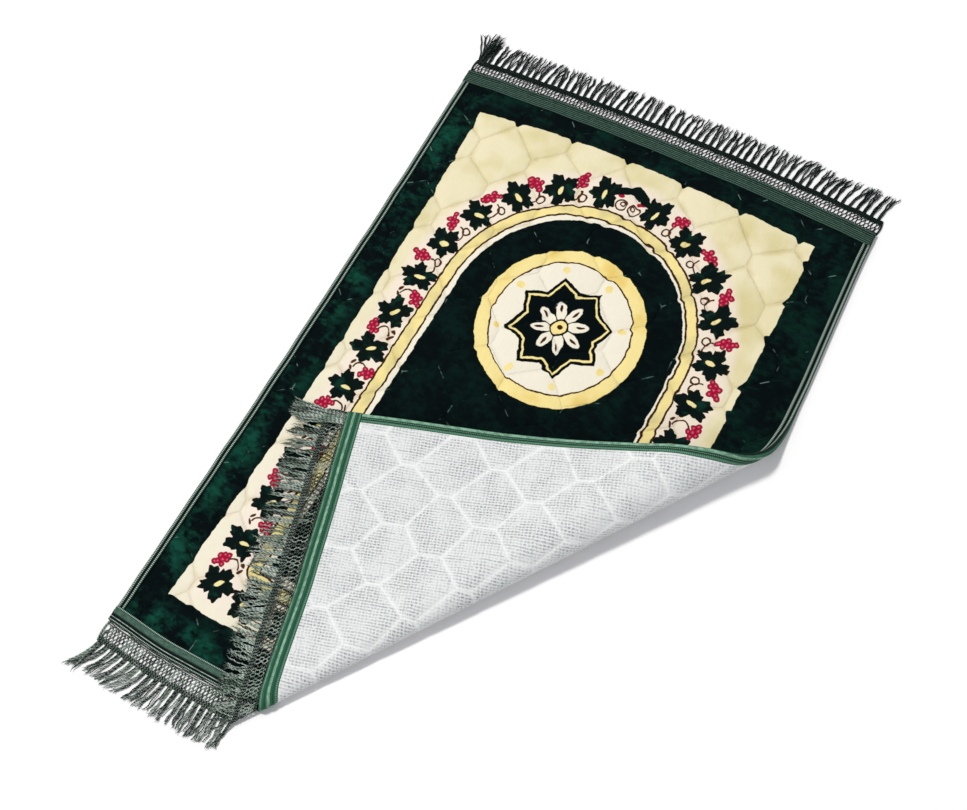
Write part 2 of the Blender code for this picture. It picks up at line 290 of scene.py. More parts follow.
class Thread:
    """A number that runs through a material's nodes. Sums with it add Math nodes."""

    def __init__(self, socket):
        self.socket = socket
        self.tree = socket.id_data

    def work(self, operation, *others):
        """A Math node's result from this number and the others."""
        node = self.tree.nodes.new("ShaderNodeMath")
        node.operation = operation
        for number, value in enumerate((self, *others)):
            feed(node.inputs[number], value)
        return Thread(node.outputs[0])

    def __add__(self, other):
        return self.work("ADD", other)

    def __sub__(self, other):
        return self.work("SUBTRACT", other)

    def __rsub__(self, other):
        return -self + other

    def __mul__(self, other):
        return self.work("MULTIPLY", other)

    def __truediv__(self, other):
        return self.work("DIVIDE", other)

    def __pow__(self, other):
        return self.work("POWER", other)

    def __neg__(self):
        return self.work("MULTIPLY", -1.0)

    def least(self, other):
        return self.work("MINIMUM", other)

    def most(self, other):
        return self.work("MAXIMUM", other)

    def size(self):
        return self.work("ABSOLUTE")

    def sine(self):
        return self.work("SINE")

    def cosine(self):
        return self.work("COSINE")

    def floor(self):
        return self.work("FLOOR")

    def fraction(self):
        return self.work("FRACT")

    def angle_from(self, other):
        """The angle whose sine goes with this and whose cosine goes with the other."""
        return self.work("ARCTAN2", other)

    def above(self, other):
        return self.work("GREATER_THAN", other)

    def below(self, other):
        return self.work("LESS_THAN", other)

    def choose(self, high, low):
        """high where this is 1, low where it is 0."""
        return self * (high - low) + low


def feed(socket, value):
    """Link a thread or a socket to an input, or set the input to a value."""
    if isinstance(value, Thread):
        value = value.socket
    if isinstance(value, bpy.types.NodeSocket):
        socket.id_data.links.new(value, socket)
    else:
        socket.default_value = value


def feed_all(node, inputs):
    """Feed several inputs of a node by their names."""
    for name, value in inputs.items():
        feed(node.inputs[name], value)


def distance(u, v):
    """The length of the flat line from 0 to (u, v)."""
    return (u * u + v * v).work("SQRT")


def turned(u, v, angle):
    """The place (u, v) turned by an angle, which is a thread or a number."""
    if isinstance(angle, Thread):
        cosine, sine = angle.cosine(), angle.sine()
    else:
        cosine, sine = math.cos(angle), math.sin(angle)
    return u * cosine - v * sine, u * sine + v * cosine


def step_between(value, low, high):
    """A soft step of a thread, 0 at low and 1 at high."""
    node = value.tree.nodes.new("ShaderNodeMapRange")
    node.interpolation_type = "SMOOTHSTEP"
    rising = high > low
    feed_all(node, {
        "Value": value,
        "From Min": min(low, high),
        "From Max": max(low, high),
        "To Min": 0.0 if rising else 1.0,
        "To Max": 1.0 if rising else 0.0,
    })
    return Thread(node.outputs["Result"])


def flat_vector(x, y):
    """The place (x, y) as a vector for a texture."""
    node = x.tree.nodes.new("ShaderNodeCombineXYZ")
    feed(node.inputs[0], x)
    feed(node.inputs[1], y)
    return node.outputs[0]


def noise(vector, size, detail=2.0, roughness=0.5):
    """Noise with features about size across: its value as a thread."""
    node = vector.id_data.nodes.new("ShaderNodeTexNoise")
    feed_all(node, {"Vector": vector, "Scale": 1 / size, "Detail": detail, "Roughness": roughness})
    return Thread(node.outputs["Fac"])


def dyed(under, over, cover, blend="MIX"):
    """One colour laid over another where cover is 1, or blended with it another way."""
    node = cover.tree.nodes.new("ShaderNodeMix")
    node.data_type = "RGBA"
    node.blend_type = blend
    feed_all(node, {"Factor": cover, "A": under, "B": over})
    return node.outputs["Result"]


def bump(height, depth, below=None):
    """A bump whose height of 1 stands depth metres high."""
    node = height.tree.nodes.new("ShaderNodeBump")
    feed_all(node, {"Distance": depth, "Height": height})
    if below is not None:
        feed(node.inputs["Normal"], below)
    return node.outputs["Normal"]


def material_with_shader(name):
    """A new material with its node tree and its shader."""
    material = bpy.data.materials.new(name)
    material.use_nodes = True
    return material, material.node_tree, material.node_tree.nodes["Principled BSDF"]


def flat_place(tree):
    """The flat map's place on the cloth, as two threads."""
    node = tree.nodes.new("ShaderNodeUVMap")
    node.uv_map = "flat"
    parts = tree.nodes.new("ShaderNodeSeparateXYZ")
    feed(parts.inputs[0], node.outputs["UV"])
    return Thread(parts.outputs[0]), Thread(parts.outputs[1])


def mark(tree, name):
    """A piece's own mark as a thread."""
    node = tree.nodes.new("ShaderNodeAttribute")
    node.attribute_name = name
    return Thread(node.outputs["Fac"])


# ---------------------------------------------------------------- the printed plush
CREAM = dye(233, 224, 188)
CREAM_DEEP = dye(212, 200, 142)
CREAM_PALE = dye(238, 232, 213)
BLUSH = dye(240, 227, 214)
GOLD = dye(243, 225, 152)
GOLD_DEEP = dye(232, 202, 112)
LINE_BROWN = dye(58, 30, 14)
STEM_BROWN = dye(74, 40, 20)
GREEN_BLACK = dye(2, 10, 12)
GREEN_DARK = dye(3, 21, 19)
# A lighter teal, painted on the velvet as sheen.
SHEEN_TEAL = dye(24, 104, 82)
LEAF_GREEN = dye(6, 20, 18)
LEAF_TEAL = dye(12, 62, 48)
HEART = dye(240, 226, 160)
BERRY = dye(168, 20, 54)
BERRY_PALE = dye(212, 100, 126)
BERRY_DARK = dye(84, 8, 30)
SEAM_SHADE = dye(214, 198, 148)
SEAM_GLINT = dye(140, 178, 166)
SHEEN_TINT = dye(150, 215, 190)
PRINT_BLUR = 0.0005

# The velvet: the grain of its patches and streaks, and where it is painted lighter teal as sheen on brushed
# pile.
PATCH_SIZE = 0.060
STREAK_SIZE = 0.015
SUNLIT_LEFT = (-0.280, -0.315)
SUNLIT_NEAR = (-0.455, -0.480)

# The pile: how far the print wanders, what its bumps measure, and how it shades along the seams.
WANDER_SIZE = 0.016
WANDER = 0.0055
FUZZ_SIZE = 0.0022
FUZZ = 0.0012
PARTING_REACH = 0.0075
PARTING = 0.0022
PILE_SIZE = 0.0011
PILE_DEPTH = 0.0007
LAY_SIZE = 0.007
LAY_DEPTH = 0.0010
CREASE_REACH = 0.0028
CREASE_DEPTH = 0.0007
SHADE_SIZE = 0.028
SHADE_REACH = 0.0085
STITCH_SHADE_SPAN = (0.0014, 0.0003)
GLINT_SIZE = 0.015
GLINT_SPAN = (0.0012, 0.0002)

# The printed field. Its sides bow, its top falls off to both sides, and its seams pinch its rim.
FIELD_LEFT = -0.2917
FIELD_RIGHT = 0.281
FIELD_TOP = 0.466
FIELD_BOTTOM = -0.4375
FIELD_MIDDLE = -0.03
FIELD_BOW = 0.012
FIELD_BOW_REACH = 0.45
TOP_FALL_LEFT = 0.30
TOP_FALL_RIGHT = 0.15
BOTTOM_SLOPE = 0.030
PINCH_REACH = 0.0080
PINCH_DEPTH = 0.0042
WARM_SIZE = 0.07

# The niche and its frame.
ARCH_CENTRE = (0.0045, 0.1725)
ARCH_RADIUS = 0.2035
ARCH_FOOT = -0.375
ARCH_LEAN = 0.0177
FOOT_ROUNDING = 0.024
LINE_WIDTH = 0.0031
BAND_WIDTH = 0.0165
BAND_GROWTH = 0.0030
BAND_GROWTH_SPAN = (-0.10, -0.20)
BAND_TONE_SIZE = 0.04
NICHE_CENTRE = (0.0085, 0.1735)
NICHE_RADIUS = 0.1785
NICHE_FOOT = -0.343

# The star rosette in its rings. An oval has a radius, and a stretch along its first direction.
ROSETTE_CENTRE = (0.0080, 0.1715)
RING_RADIUS = 0.128
RING_TONE_SIZE = 0.05
DISC_RADIUS = 0.106
DISC_LINE = 0.0026
DISC_LINE_OUT = 0.0012
ROSETTE_POINTS = 8
STAR_SIZE = 0.058
STAR_LINE_INSET = 0.0065
STAR_LINE = 0.0032
DROP_PLACE = 0.0945
DROP_OVAL = (0.0062, 0.9)
PETAL_PLACE = 0.027
PETAL_OVAL = (0.0078, 2.1)
VEIN_PLACE = 0.031
VEIN_OVAL = (0.0022, 3.0)
EYE_RIM = 0.0135
EYE_RADIUS = 0.0105
EYE_DOT = 0.0040

# The vine: its course, the blush of the cream about it, and the leaves along it and in a row at its foot.
VINE_RADIUS = 0.2315
VINE_LEAN = ARCH_LEAN * 0.4
BLUSH_FADE = (0.040, 0.022)
BLUSH_FOOT = (ARCH_FOOT - 0.062, ARCH_FOOT - 0.040)
BLUSH_SHARE = 0.75
LEAF_START = 0.044
LEAF_PITCH = 0.0684
LAST_LEAF = 13
LEAVES_ON_ARCH = 5
LEFT_SHIFT = 0.0045
LEFT_SHIFT_SPAN = (0.20, 0.05)
FOOT_ROW = (-0.181, -0.402)
FOOT_ROW_END = 0.20
GOLDEN_ANGLE = 2.399

# A leaf: its rim's shares of its radius, its outline and the heart in it.
LEAF_RADIUS = 0.0302
LEAF_UNEVENNESS = 0.0012
LEAF_LEAN = 0.5
LEAF_STRETCH = (1.08, 0.08)
LEAF_LOBES = 5
LEAF_TEETH = 15
TEETH_TURN = 0.2
HOLLOW_SHARE = 0.46
LOBE_SHARE = 0.40
LOBE_POWER = 0.75
TOOTH_SHARE = 0.14
LEAF_OUTLINE = 0.0008
LEAF_BLADE = 0.0004
LEAF_TONE_SIZE = 0.018
HEART_DROP = 0.002
HEART_OVAL = (0.0036, 2.1)
HEART_LEAN = 0.7

# Between two leaves. A ring has a place along and out from the vine, a radius and a line's width.
CURL_RING = (-0.0010, -0.0135, 0.0060, 0.0028)
TAIL_RING = (0.0125, -0.0030, 0.0125, 0.0026)
STEM_RING = (0.0040, -0.0005, 0.0115, 0.0027)
STEM_END = 0.003
TWIG_LEAF_TURNS = ((-0.0050, 0.7), (0.0045, -0.7))
TWIG_LEAF_OUT = -0.0150
TWIG_LEAF_OVAL = (0.0022, 2.2)
BERRY_RADIUS = 0.0046
BERRY_PALE_SPAN = (0.0004, 0.0022)
BERRY_RIM_SPAN = (0.0034, 0.0043)
BERRIES_ALONG = 0.002
BERRIES_OUT_ON_ARCH = 0.0165
BERRIES_OUT_BESIDE = 0.0185
BERRIES_IN_BESIDE = 0.0150
BERRY_PLACES = (
    (0.0, 0.0), (0.0066, 0.0022), (-0.0060, 0.0034), (0.0012, 0.0074),
    (-0.0034, -0.0064), (0.0042, -0.0060), (-0.0046, 0.0108), (0.0078, -0.0100),
)

# The top of the vine, measured sideways and down from the peak of its leaf.
CROWN_PEAK = (0.0035, 0.4335)
CROWN_CURL = (0.0108, 0.0410, 0.0088, 0.0027)
CROWN_COIL = (0.0085, 0.0385, 0.0036, 0.0024)
CROWN_PARTING = 0.0015
CROWN_BERRIES = (0.0185, 0.0265)
CROWN_BERRIES_OVAL = (0.0036, 1.6)
ROOF_SLOPE = 0.52
ROOF_THICKNESS = 0.0150
ROOF_REACH = 0.0330


def arch_place(x, y, centre, lean):
    """How far out from the middle of the arch a place is: round it above, straight beside it below."""
    across = (x - centre[0]).size()
    up = y - centre[1]
    beside = across + up.least(0.0) * lean
    return distance(beside, up.most(0.0))


def arch_frame(x, y):
    """Distance out from the frame's outer line, round the arch, its sides and its foot."""
    sides = arch_place(x, y, ARCH_CENTRE, ARCH_LEAN) - ARCH_RADIUS + FOOT_ROUNDING
    foot = ARCH_FOOT - y + FOOT_ROUNDING
    corner = distance(sides.most(0.0), foot.most(0.0)) - FOOT_ROUNDING
    return corner + sides.most(foot).least(0.0)


def printed(edge):
    """1 inside a printed shape and 0 outside it, with the soft edge of a dyed pile."""
    return step_between(edge, PRINT_BLUR, -PRINT_BLUR)


def line_on(edge, width):
    """A drawn line where edge is 0."""
    return printed(edge.size() - width / 2)


def ring(u, v, sizes):
    """A drawn ring: its sizes are its place, its radius and its line's width."""
    place_u, place_v, radius, width = sizes
    return line_on(distance(u - place_u, v - place_v) - radius, width)


def oval(u, v, sizes):
    """A printed oval about 0: its sizes are its radius, and how many times longer it is along u."""
    radius, stretch = sizes
    return printed(distance(u / stretch, v) - radius)


def zigzag(angle, count, start=0.0):
    """A zigzag between 0 and 1 that comes back count times in a round."""
    return ((angle * (count / (2 * math.pi)) + start).fraction() - 0.5).size() * 2.0


def leaf_shape(u, v, radius, turn):
    """Distance out from a leaf of five pointed lobes with toothed rims."""
    angle = v.angle_from(u) + turn
    lobes = zigzag(angle, LEAF_LOBES) ** LOBE_POWER
    teeth = zigzag(angle, LEAF_TEETH, TEETH_TURN)
    rim = lobes * LOBE_SHARE + HOLLOW_SHARE + teeth * TOOTH_SHARE
    return distance(u, v) - rim * radius


def leaves_print(u, v, seed, ground, cover):
    """Leaves with toothed rims and long pale hearts, each turned and stretched its own way."""
    # The uneven factors of the seed only keep one leaf's chances apart from another's.
    stretch, uneven_stretch = LEAF_STRETCH
    lean = (seed * 1.9).sine() * LEAF_LEAN
    wide = (seed * 3.7).cosine() * uneven_stretch + stretch
    radius = (seed * 3.1).sine() * LEAF_UNEVENNESS + LEAF_RADIUS
    u, v = turned(u * wide, v / wide, lean)
    edge = leaf_shape(u, v, radius, seed * 2.3)
    tone = noise(flat_vector(u + seed, v), LEAF_TONE_SIZE)
    green = dyed(LEAF_GREEN, LEAF_TEAL, step_between(tone, 0.52, 0.72) * 0.6)
    ground = dyed(ground, LINE_BROWN, printed(edge - LEAF_OUTLINE) * cover)
    ground = dyed(ground, green, printed(edge + LEAF_BLADE) * cover)
    heart_u, heart_v = turned(u, v + HEART_DROP, (seed * 5.3).sine() * HEART_LEAN)
    return dyed(ground, HEART, oval(heart_v, heart_u, HEART_OVAL) * cover)


def berries(u, v):
    """A cluster of round berries: its cover, and how far each place is from the nearest berry's middle."""
    nearest = None
    for place_u, place_v in BERRY_PLACES:
        away = distance(u - place_u, v - place_v)
        nearest = away if nearest is None else nearest.least(away)
    return printed(nearest - BERRY_RADIUS), nearest


def sprigs_print(along, out, right, ground):
    """Between two leaves: a curl on the arch, a bent stem with two small leaves beside it, and berries."""
    gap = (along - LEAF_START) / LEAF_PITCH
    number = gap.floor()
    way = (gap - number - 0.5) * LEAF_PITCH
    shown = number.above(-0.5) * number.below(LAST_LEAF - 0.5)

    # Below the arch each sprig leans to the other side of the vine than the one before it.
    straight = number.above(LEAVES_ON_ARCH - 0.5)
    swing = (number * math.pi + math.pi / 2).sine() * (1.0 - right * 2.0)
    side = straight.choose(swing, 1.0)
    over = out * side

    curls = ring(way, out, CURL_RING).most(ring(way, out, TAIL_RING) * out.below(0.0))
    sprig = ring(way, over, STEM_RING) * way.below(STEM_END)
    for place, lean in TWIG_LEAF_TURNS:
        u, v = turned(way - place, over - TWIG_LEAF_OUT, lean)
        sprig = sprig.most(oval(u, v, TWIG_LEAF_OVAL))
    ground = dyed(ground, STEM_BROWN, straight.choose(sprig, curls) * shown)

    beside = side.above(0.0).choose(BERRIES_OUT_BESIDE, BERRIES_IN_BESIDE)
    middle = straight.choose(beside, BERRIES_OUT_ON_ARCH)
    u, v = turned(way - BERRIES_ALONG, over - middle, number * 0.9 + right)
    cover, away = berries(u, v)
    red = dyed(BERRY_PALE, BERRY, step_between(away, *BERRY_PALE_SPAN))
    red = dyed(red, BERRY_DARK, step_between(away, *BERRY_RIM_SPAN))
    return dyed(ground, red, cover * shown)


def crown_print(x, y, ground):
    """At the top of the vine: a peaked leaf over two curls, with a few berries between."""
    across = (x - CROWN_PEAK[0]).size()
    down = CROWN_PEAK[1] - y
    curls = ring(across, down, CROWN_CURL).most(ring(across, down, CROWN_COIL))
    ground = dyed(ground, STEM_BROWN, curls * across.above(CROWN_PARTING))
    cluster = oval(across - CROWN_BERRIES[0], down - CROWN_BERRIES[1], CROWN_BERRIES_OVAL)
    ground = dyed(ground, BERRY, cluster)
    half = ROOF_THICKNESS / 2
    roof = (down - across * ROOF_SLOPE - half).size() - half
    return dyed(ground, LEAF_GREEN, printed(roof.most(across - ROOF_REACH)))


def vine_print(x, y, ground):
    """The vine round the arch: stems, curls and twigs, dark leaves with pale hearts, and red berries."""
    from_middle = x - ARCH_CENTRE[0]
    up = y - ARCH_CENTRE[1]
    right = from_middle.above(0.0)
    along = from_middle.size().angle_from(up.most(0.0)) * VINE_RADIUS - up.least(0.0)
    out = arch_place(x, y, ARCH_CENTRE, VINE_LEAN) - VINE_RADIUS
    beside = step_between(out.size(), *BLUSH_FADE) * step_between(y, *BLUSH_FOOT)
    ground = dyed(ground, BLUSH, beside * BLUSH_SHARE)
    ground = sprigs_print(along, out, right, ground)

    # The leaves down both sides, the row along the foot, and the leaf at the top.
    number = ((along - LEAF_START) / LEAF_PITCH + 0.5).floor().most(0.0)
    from_leaf = along - (number * LEAF_PITCH + LEAF_START)
    left = (1.0 - right) * step_between(y, *LEFT_SHIFT_SPAN)
    seed = number * GOLDEN_ANGLE + right * 1.7
    ground = leaves_print(from_leaf, out - left * LEFT_SHIFT, seed, ground, number.below(LAST_LEAF + 0.5))
    step = ((x - FOOT_ROW[0]) / LEAF_PITCH + 0.5).floor().most(0.0)
    across = x - (step * LEAF_PITCH + FOOT_ROW[0])
    ground = leaves_print(across, y - FOOT_ROW[1], step * 2.1 + 4.0, ground, x.below(FOOT_ROW_END))
    return crown_print(x, y, ground)


def frame_print(x, y, ground):
    """The arch's frame: a pale strip, and a gold band along its rim between two brown lines."""
    edge = arch_frame(x, y)
    gold = dyed(GOLD, CREAM_DEEP, step_between(noise(flat_vector(x, y), BAND_TONE_SIZE), 0.40, 0.75))
    band = step_between(x, *BAND_GROWTH_SPAN) * BAND_GROWTH + BAND_WIDTH
    ground = dyed(ground, CREAM_PALE, printed(edge))
    ground = dyed(ground, gold, line_on(edge + band / 2, band))
    for line in (edge, edge + band):
        ground = dyed(ground, LINE_BROWN, line_on(line, LINE_WIDTH))
    return ground


def rosette_print(x, y, ground):
    """A plain eight-pointed star rosette on a pale disc, inside a gold ring."""
    u = x - ROSETTE_CENTRE[0]
    v = y - ROSETTE_CENTRE[1]
    away = distance(u, v)
    gold = dyed(GOLD, GOLD_DEEP, step_between(noise(flat_vector(x, y), RING_TONE_SIZE), 0.42, 0.72))
    ground = dyed(ground, gold, printed(away - RING_RADIUS))
    ground = dyed(ground, LINE_BROWN, line_on(away - (DISC_RADIUS + DISC_LINE_OUT), DISC_LINE))
    ground = dyed(ground, CREAM_PALE, printed(away - DISC_RADIUS))

    # Everything repeats eight times round: turn is the angle from the middle of a point.
    eighth = 2 * math.pi / ROSETTE_POINTS
    turn = ((v.angle_from(u) / eighth).fraction() * eighth - eighth / 2).size()
    reach = away * turn.cosine()
    sway = away * turn.sine()
    star = away * turn.most(eighth - turn).cosine() - STAR_SIZE
    petal = oval(reach - PETAL_PLACE, sway, PETAL_OVAL)
    vein = oval(reach - VEIN_PLACE, sway, VEIN_OVAL)
    for colour, cover in (
        (gold, oval(sway, reach - DROP_PLACE, DROP_OVAL)),
        (GREEN_BLACK, printed(star)),
        (GOLD, line_on(star + STAR_LINE_INSET, STAR_LINE)),
        (CREAM_PALE, petal),
        (LINE_BROWN, vein),
        (GREEN_BLACK, printed(away - EYE_RIM)),
        (gold, printed(away - EYE_RADIUS)),
        (LINE_BROWN, printed(away - EYE_DOT)),
    ):
        ground = dyed(ground, colour, cover)
    return ground


def velvet_pile(x, y):
    """The nearly black green velvet, and how much painted teal sheen each place of it gets where its brushed
    pile would catch the light.
    """
    patches = noise(flat_vector(x, y), PATCH_SIZE, 4.0, 0.6)
    streaks = noise(flat_vector(x, y * 1.6), STREAK_SIZE, 3.0, 0.6)
    # Painted sheen: the brushed pile is coloured lighter teal where it would catch the light, most along the
    # left and near borders.
    sunlit = (step_between(x, *SUNLIT_LEFT) * 0.85).most(step_between(y, *SUNLIT_NEAR)) * 0.80 + 0.20
    pile_sheen = step_between(patches * 0.65 + streaks * 0.35, 0.44, 0.68) * sunlit
    velvet = dyed(GREEN_BLACK, GREEN_DARK, step_between(streaks * 0.5 + patches * 0.5, 0.42, 0.62))
    return velvet, pile_sheen


def field_edge(x, y, seam):
    """Distance out from the printed field."""
    bow = (1.0 - (y / FIELD_BOW_REACH) ** 2).most(0.0) * FIELD_BOW
    mid = x - FIELD_MIDDLE
    fall = mid.least(0.0) ** 2 * TOP_FALL_LEFT + mid.most(0.0) ** 2 * TOP_FALL_RIGHT
    left = bow + FIELD_LEFT - x
    right = x - FIELD_RIGHT - bow * 0.6
    top = y + fall - FIELD_TOP
    bottom = mid * BOTTOM_SLOPE + FIELD_BOTTOM - y
    pinch = step_between(seam, PINCH_REACH, 0.0) * PINCH_DEPTH
    return left.most(right).most(top).most(bottom) + pinch


def seam_tints(x, y, seam, ground, pale):
    """Along the stitched seams pale pile is shaded warm, and green pile catches a little light in places."""
    chance = noise(flat_vector(x + 7.0, y), SHADE_SIZE)
    wide = step_between(seam, SHADE_REACH, 0.0) * step_between(chance, 0.42, 0.64) * 0.30
    narrow = step_between(seam, *STITCH_SHADE_SPAN) * step_between(chance, 0.60, 0.42) * 0.24
    ground = dyed(ground, SEAM_SHADE, (wide + narrow) * pale, "MULTIPLY")
    broken = step_between(noise(flat_vector(x, y + 5.0), GLINT_SIZE), 0.50, 0.58)
    glint = step_between(seam, *GLINT_SPAN) * step_between(chance, 0.49, 0.60) * broken * 0.38
    return dyed(ground, SEAM_GLINT, glint * (1.0 - pale))


def plush_print(x, y, seam):
    """The whole printed face: border, field, vine, framed niche and rosette."""
    velvet, pile_sheen = velvet_pile(x, y)
    field = printed(field_edge(x, y, seam))
    warm = noise(flat_vector(x, y), WARM_SIZE)
    cream = dyed(CREAM, CREAM_DEEP, step_between(warm + x * 0.09, 0.40, 0.72) * 0.80)
    cream = dyed(cream, CREAM_PALE, step_between(y + x * 0.4, 0.10, -0.30) * 0.8)
    # The border's velvet with its painted teal sheen, under the cream field.
    ground = dyed(dyed(velvet, SHEEN_TEAL, pile_sheen * 0.50), cream, field)
    ground = vine_print(x, y, ground)
    ground = frame_print(x, y, ground)
    niche = printed((arch_place(x, y, NICHE_CENTRE, ARCH_LEAN) - NICHE_RADIUS).most(NICHE_FOOT - y))
    # The niche's velvet gets only a faint painted sheen.
    ground = dyed(ground, dyed(velvet, SHEEN_TEAL, pile_sheen * 0.14), niche)
    ground = rosette_print(x, y, ground)
    return seam_tints(x, y, seam, ground, field * (1.0 - niche))


def plush_material():
    """Short brushed pile, printed, with soft sheen."""
    material, tree, shader = material_with_shader("printed_plush")
    x, y = flat_place(tree)
    seam = mark(tree, "seam")
    place = flat_vector(x, y)

    # The print wanders with the pile, and more so where a seam parts it.
    wander = noise(place, WANDER_SIZE) - 0.5
    other = noise(flat_vector(x + 3.0, y), WANDER_SIZE) - 0.5
    fuzz = (noise(place, FUZZ_SIZE, 1.0) - 0.5) * FUZZ
    parted = step_between(seam, PARTING_REACH, 0.0) * PARTING
    wavy_x = x + wander * WANDER + fuzz + parted
    wavy_y = y + other * WANDER + fuzz + parted

    pile = noise(place, PILE_SIZE, 2.0, 0.7)
    lay = noise(flat_vector(x, y * 0.5), LAY_SIZE, 2.0, 0.6)
    crease = bump(step_between(seam, 0.0, CREASE_REACH), CREASE_DEPTH)
    feed_all(shader, {
        "Base Color": plush_print(wavy_x, wavy_y, seam),
        "Normal": bump(pile, PILE_DEPTH, bump(lay, LAY_DEPTH, crease)),
        "Roughness": 0.9,
        "Specular IOR Level": 0.06,
        "Sheen Weight": 0.03,
        "Sheen Roughness": 0.4,
        "Sheen Tint": SHEEN_TINT,
    })
    return material


# ---------------------------------------------------------------- the woven backing
BACKING_WHITE = dye(236, 238, 237)
BACKING_SHADE = dye(226, 229, 228)
BACKING_HOLE = dye(120, 123, 128)
BACKING_COLUMN = 0.0041
BACKING_ROW = 0.0052
BACKING_SKEW = 0.078
BACKING_WANDER_SIZE = 0.03
BACKING_WANDER = 0.0026
CLEAR_SPAN = (0.0002, 0.0060)
CLEAR_FRAY_SIZE = 0.012
CLEAR_FRAY = 0.014
STITCH_SPAN = (0.0005, 0.0015)
STITCH_FRAY = 0.0010
FAINT_PATCH_SIZE = 0.040
SPECKLE_SIZE = 0.0028
HOLE_DEPTH = 0.0007
THREAD_SIZE = 0.0016
THREAD_DEPTH = 0.0003


def waves(value):
    """A thread's waves from 0 to 1, one for each whole step of it."""
    return (value * math.pi).sine().size()


def backing_material():
    """White bonded backing: a net of fine threads with grey pin holes in rows, closed along the seams."""
    material, tree, shader = material_with_shader("white_backing")
    x, y = flat_place(tree)
    seam = mark(tree, "seam")
    place = flat_vector(x, y)
    wander = (noise(place, BACKING_WANDER_SIZE) - 0.5) * BACKING_WANDER
    column = (x + wander) / BACKING_COLUMN
    row = (y + x * BACKING_SKEW + wander) / BACKING_ROW
    columns, rows = waves(column), waves(row)
    weak_column = noise(flat_vector(column, y * 12.0), 1.0, 1.0)
    weak_row = noise(flat_vector(x * 12.0 + 9.0, row * 1.7), 1.0, 1.0)
    slots = step_between(columns, 0.35, 0.95) * (step_between(rows, 0.20, 0.85) * 0.60 + 0.40)
    streaks = step_between(rows, 0.70, 1.0) * step_between(weak_row, 0.42, 0.62)
    lanes = step_between(columns, 0.70, 1.0) * step_between(weak_column, 0.48, 0.64)

    # The holes are faint in patches, broken by speckles, and closed where the seams press the cloth.
    frayed_edge = noise(place, CLEAR_FRAY_SIZE) - 0.5
    clear = step_between(seam + frayed_edge * CLEAR_FRAY, *CLEAR_SPAN)
    patchy = step_between(noise(place, FAINT_PATCH_SIZE, 3.0), 0.32, 0.66)
    speckle = step_between(noise(place, SPECKLE_SIZE, 2.0, 0.6), 0.30, 0.62)
    shown = (slots * (patchy * 0.60 + 0.40)).most(streaks * 0.40).most(lanes * 0.80) * speckle
    shown = shown * (clear * 0.65 + 0.35)
    stitch = step_between(seam + frayed_edge * STITCH_FRAY, *STITCH_SPAN)
    cloth = dyed(BACKING_WHITE, BACKING_SHADE, stitch * 0.85 + clear * 0.15)
    threads = noise(flat_vector(x * 3.0, y), THREAD_SIZE)
    feed_all(shader, {
        "Base Color": dyed(cloth, BACKING_HOLE, shown * 0.82),
        "Normal": bump(threads, THREAD_DEPTH, bump(1.0 - shown, HOLE_DEPTH)),
        "Roughness": 0.8,
        "Specular IOR Level": 0.2,
    })
    return material


# ---------------------------------------------------------------- the quilted pad
CELL_WIDTH = 0.095
CELL_SIDE = 0.028
CELL_RISE = 0.039
CELL_SHIFT = (-0.030, 0.320)
CELL_ROWS = range(-14, 6)
CELL_COLUMNS = range(-5, 6)
CORNER_WANDER = 0.006
SEAM_TOP = 0.0012
CUSHION_REACH = 0.010
BACK_RELIEF = 0.62

# The quilting of the turned-over corner is drawn in towards one line and moved along the rug.
CORNER_START = 0.17
CORNER_SPAN = 0.11
CORNER_SQUEEZE = 0.09
SQUEEZE_LINE = 0.15
CORNER_SHIFT = 0.015

# Relief of the cloth itself: the size and height of its puckers, slumps and ripples.
PUCKER_SIZE = 0.009
PUCKER_HEIGHT = 0.0005
PUCKER_REACH = 0.014
SLUMP_SIZE = 0.050
SLUMP_HEIGHT = 0.0006
SLUMP_MEAN = 0.6
RIPPLE_SIZE = 0.020
RIPPLE_HEIGHT = 0.0002
CROWN_SPARE = 0.0003

# The back's relief: the share of it that shows before the cloth is upside down, and its own creases.
STANDING_SHARE = 0.3
BACK_PUCKER = 0.8
BACK_SLUMP = 0.5
BACK_SLUMP_MEAN = 0.0004
TUCK_REACH = 0.002

# The pad's mesh.
SEAM_RINGS = (0.0, 0.035, 0.085, 0.16, 0.27, 0.42, 0.62, 0.83)
SLANT_STEPS = 9
UPRIGHT_STEPS = 4
ROLL_CUTS = 22
EDGE_RISE = 0.012
CUT_MERGE = 0.00005
SEAM_SEARCH = 0.16


def quilt_corner(column, row, end):
    """A corner of the quilting: one end of an upright side, moved a little out of place."""
    x = CELL_SHIFT[0] + (column + (row % 2) / 2) * CELL_WIDTH
    y = CELL_SHIFT[1] + row * (CELL_SIDE + CELL_RISE) + end * CELL_SIDE / 2
    seed = 12.9 * column + 7.3 * row + 3.1 * end
    beyond = float(soft_step((x * OUTWARD[0] + y * OUTWARD[1] - CORNER_START) / CORNER_SPAN))
    x, y = x - CORNER_SQUEEZE * (x - SQUEEZE_LINE) * beyond, y + CORNER_SHIFT * beyond
    return x + CORNER_WANDER * math.sin(seed), y + CORNER_WANDER * math.sin(1.7 * seed + 1.0)


def quilt_cells():
    """The six corners of every cell of the quilting."""
    cells = []
    for row in CELL_ROWS:
        shift = row % 2
        for column in CELL_COLUMNS:
            cells.append((
                quilt_corner(column, row, -1),
                quilt_corner(column + shift, row - 1, 1),
                quilt_corner(column + 1, row, -1),
                quilt_corner(column + 1, row, 1),
                quilt_corner(column + shift, row + 1, -1),
                quilt_corner(column, row, 1),
            ))
    return np.array(cells)


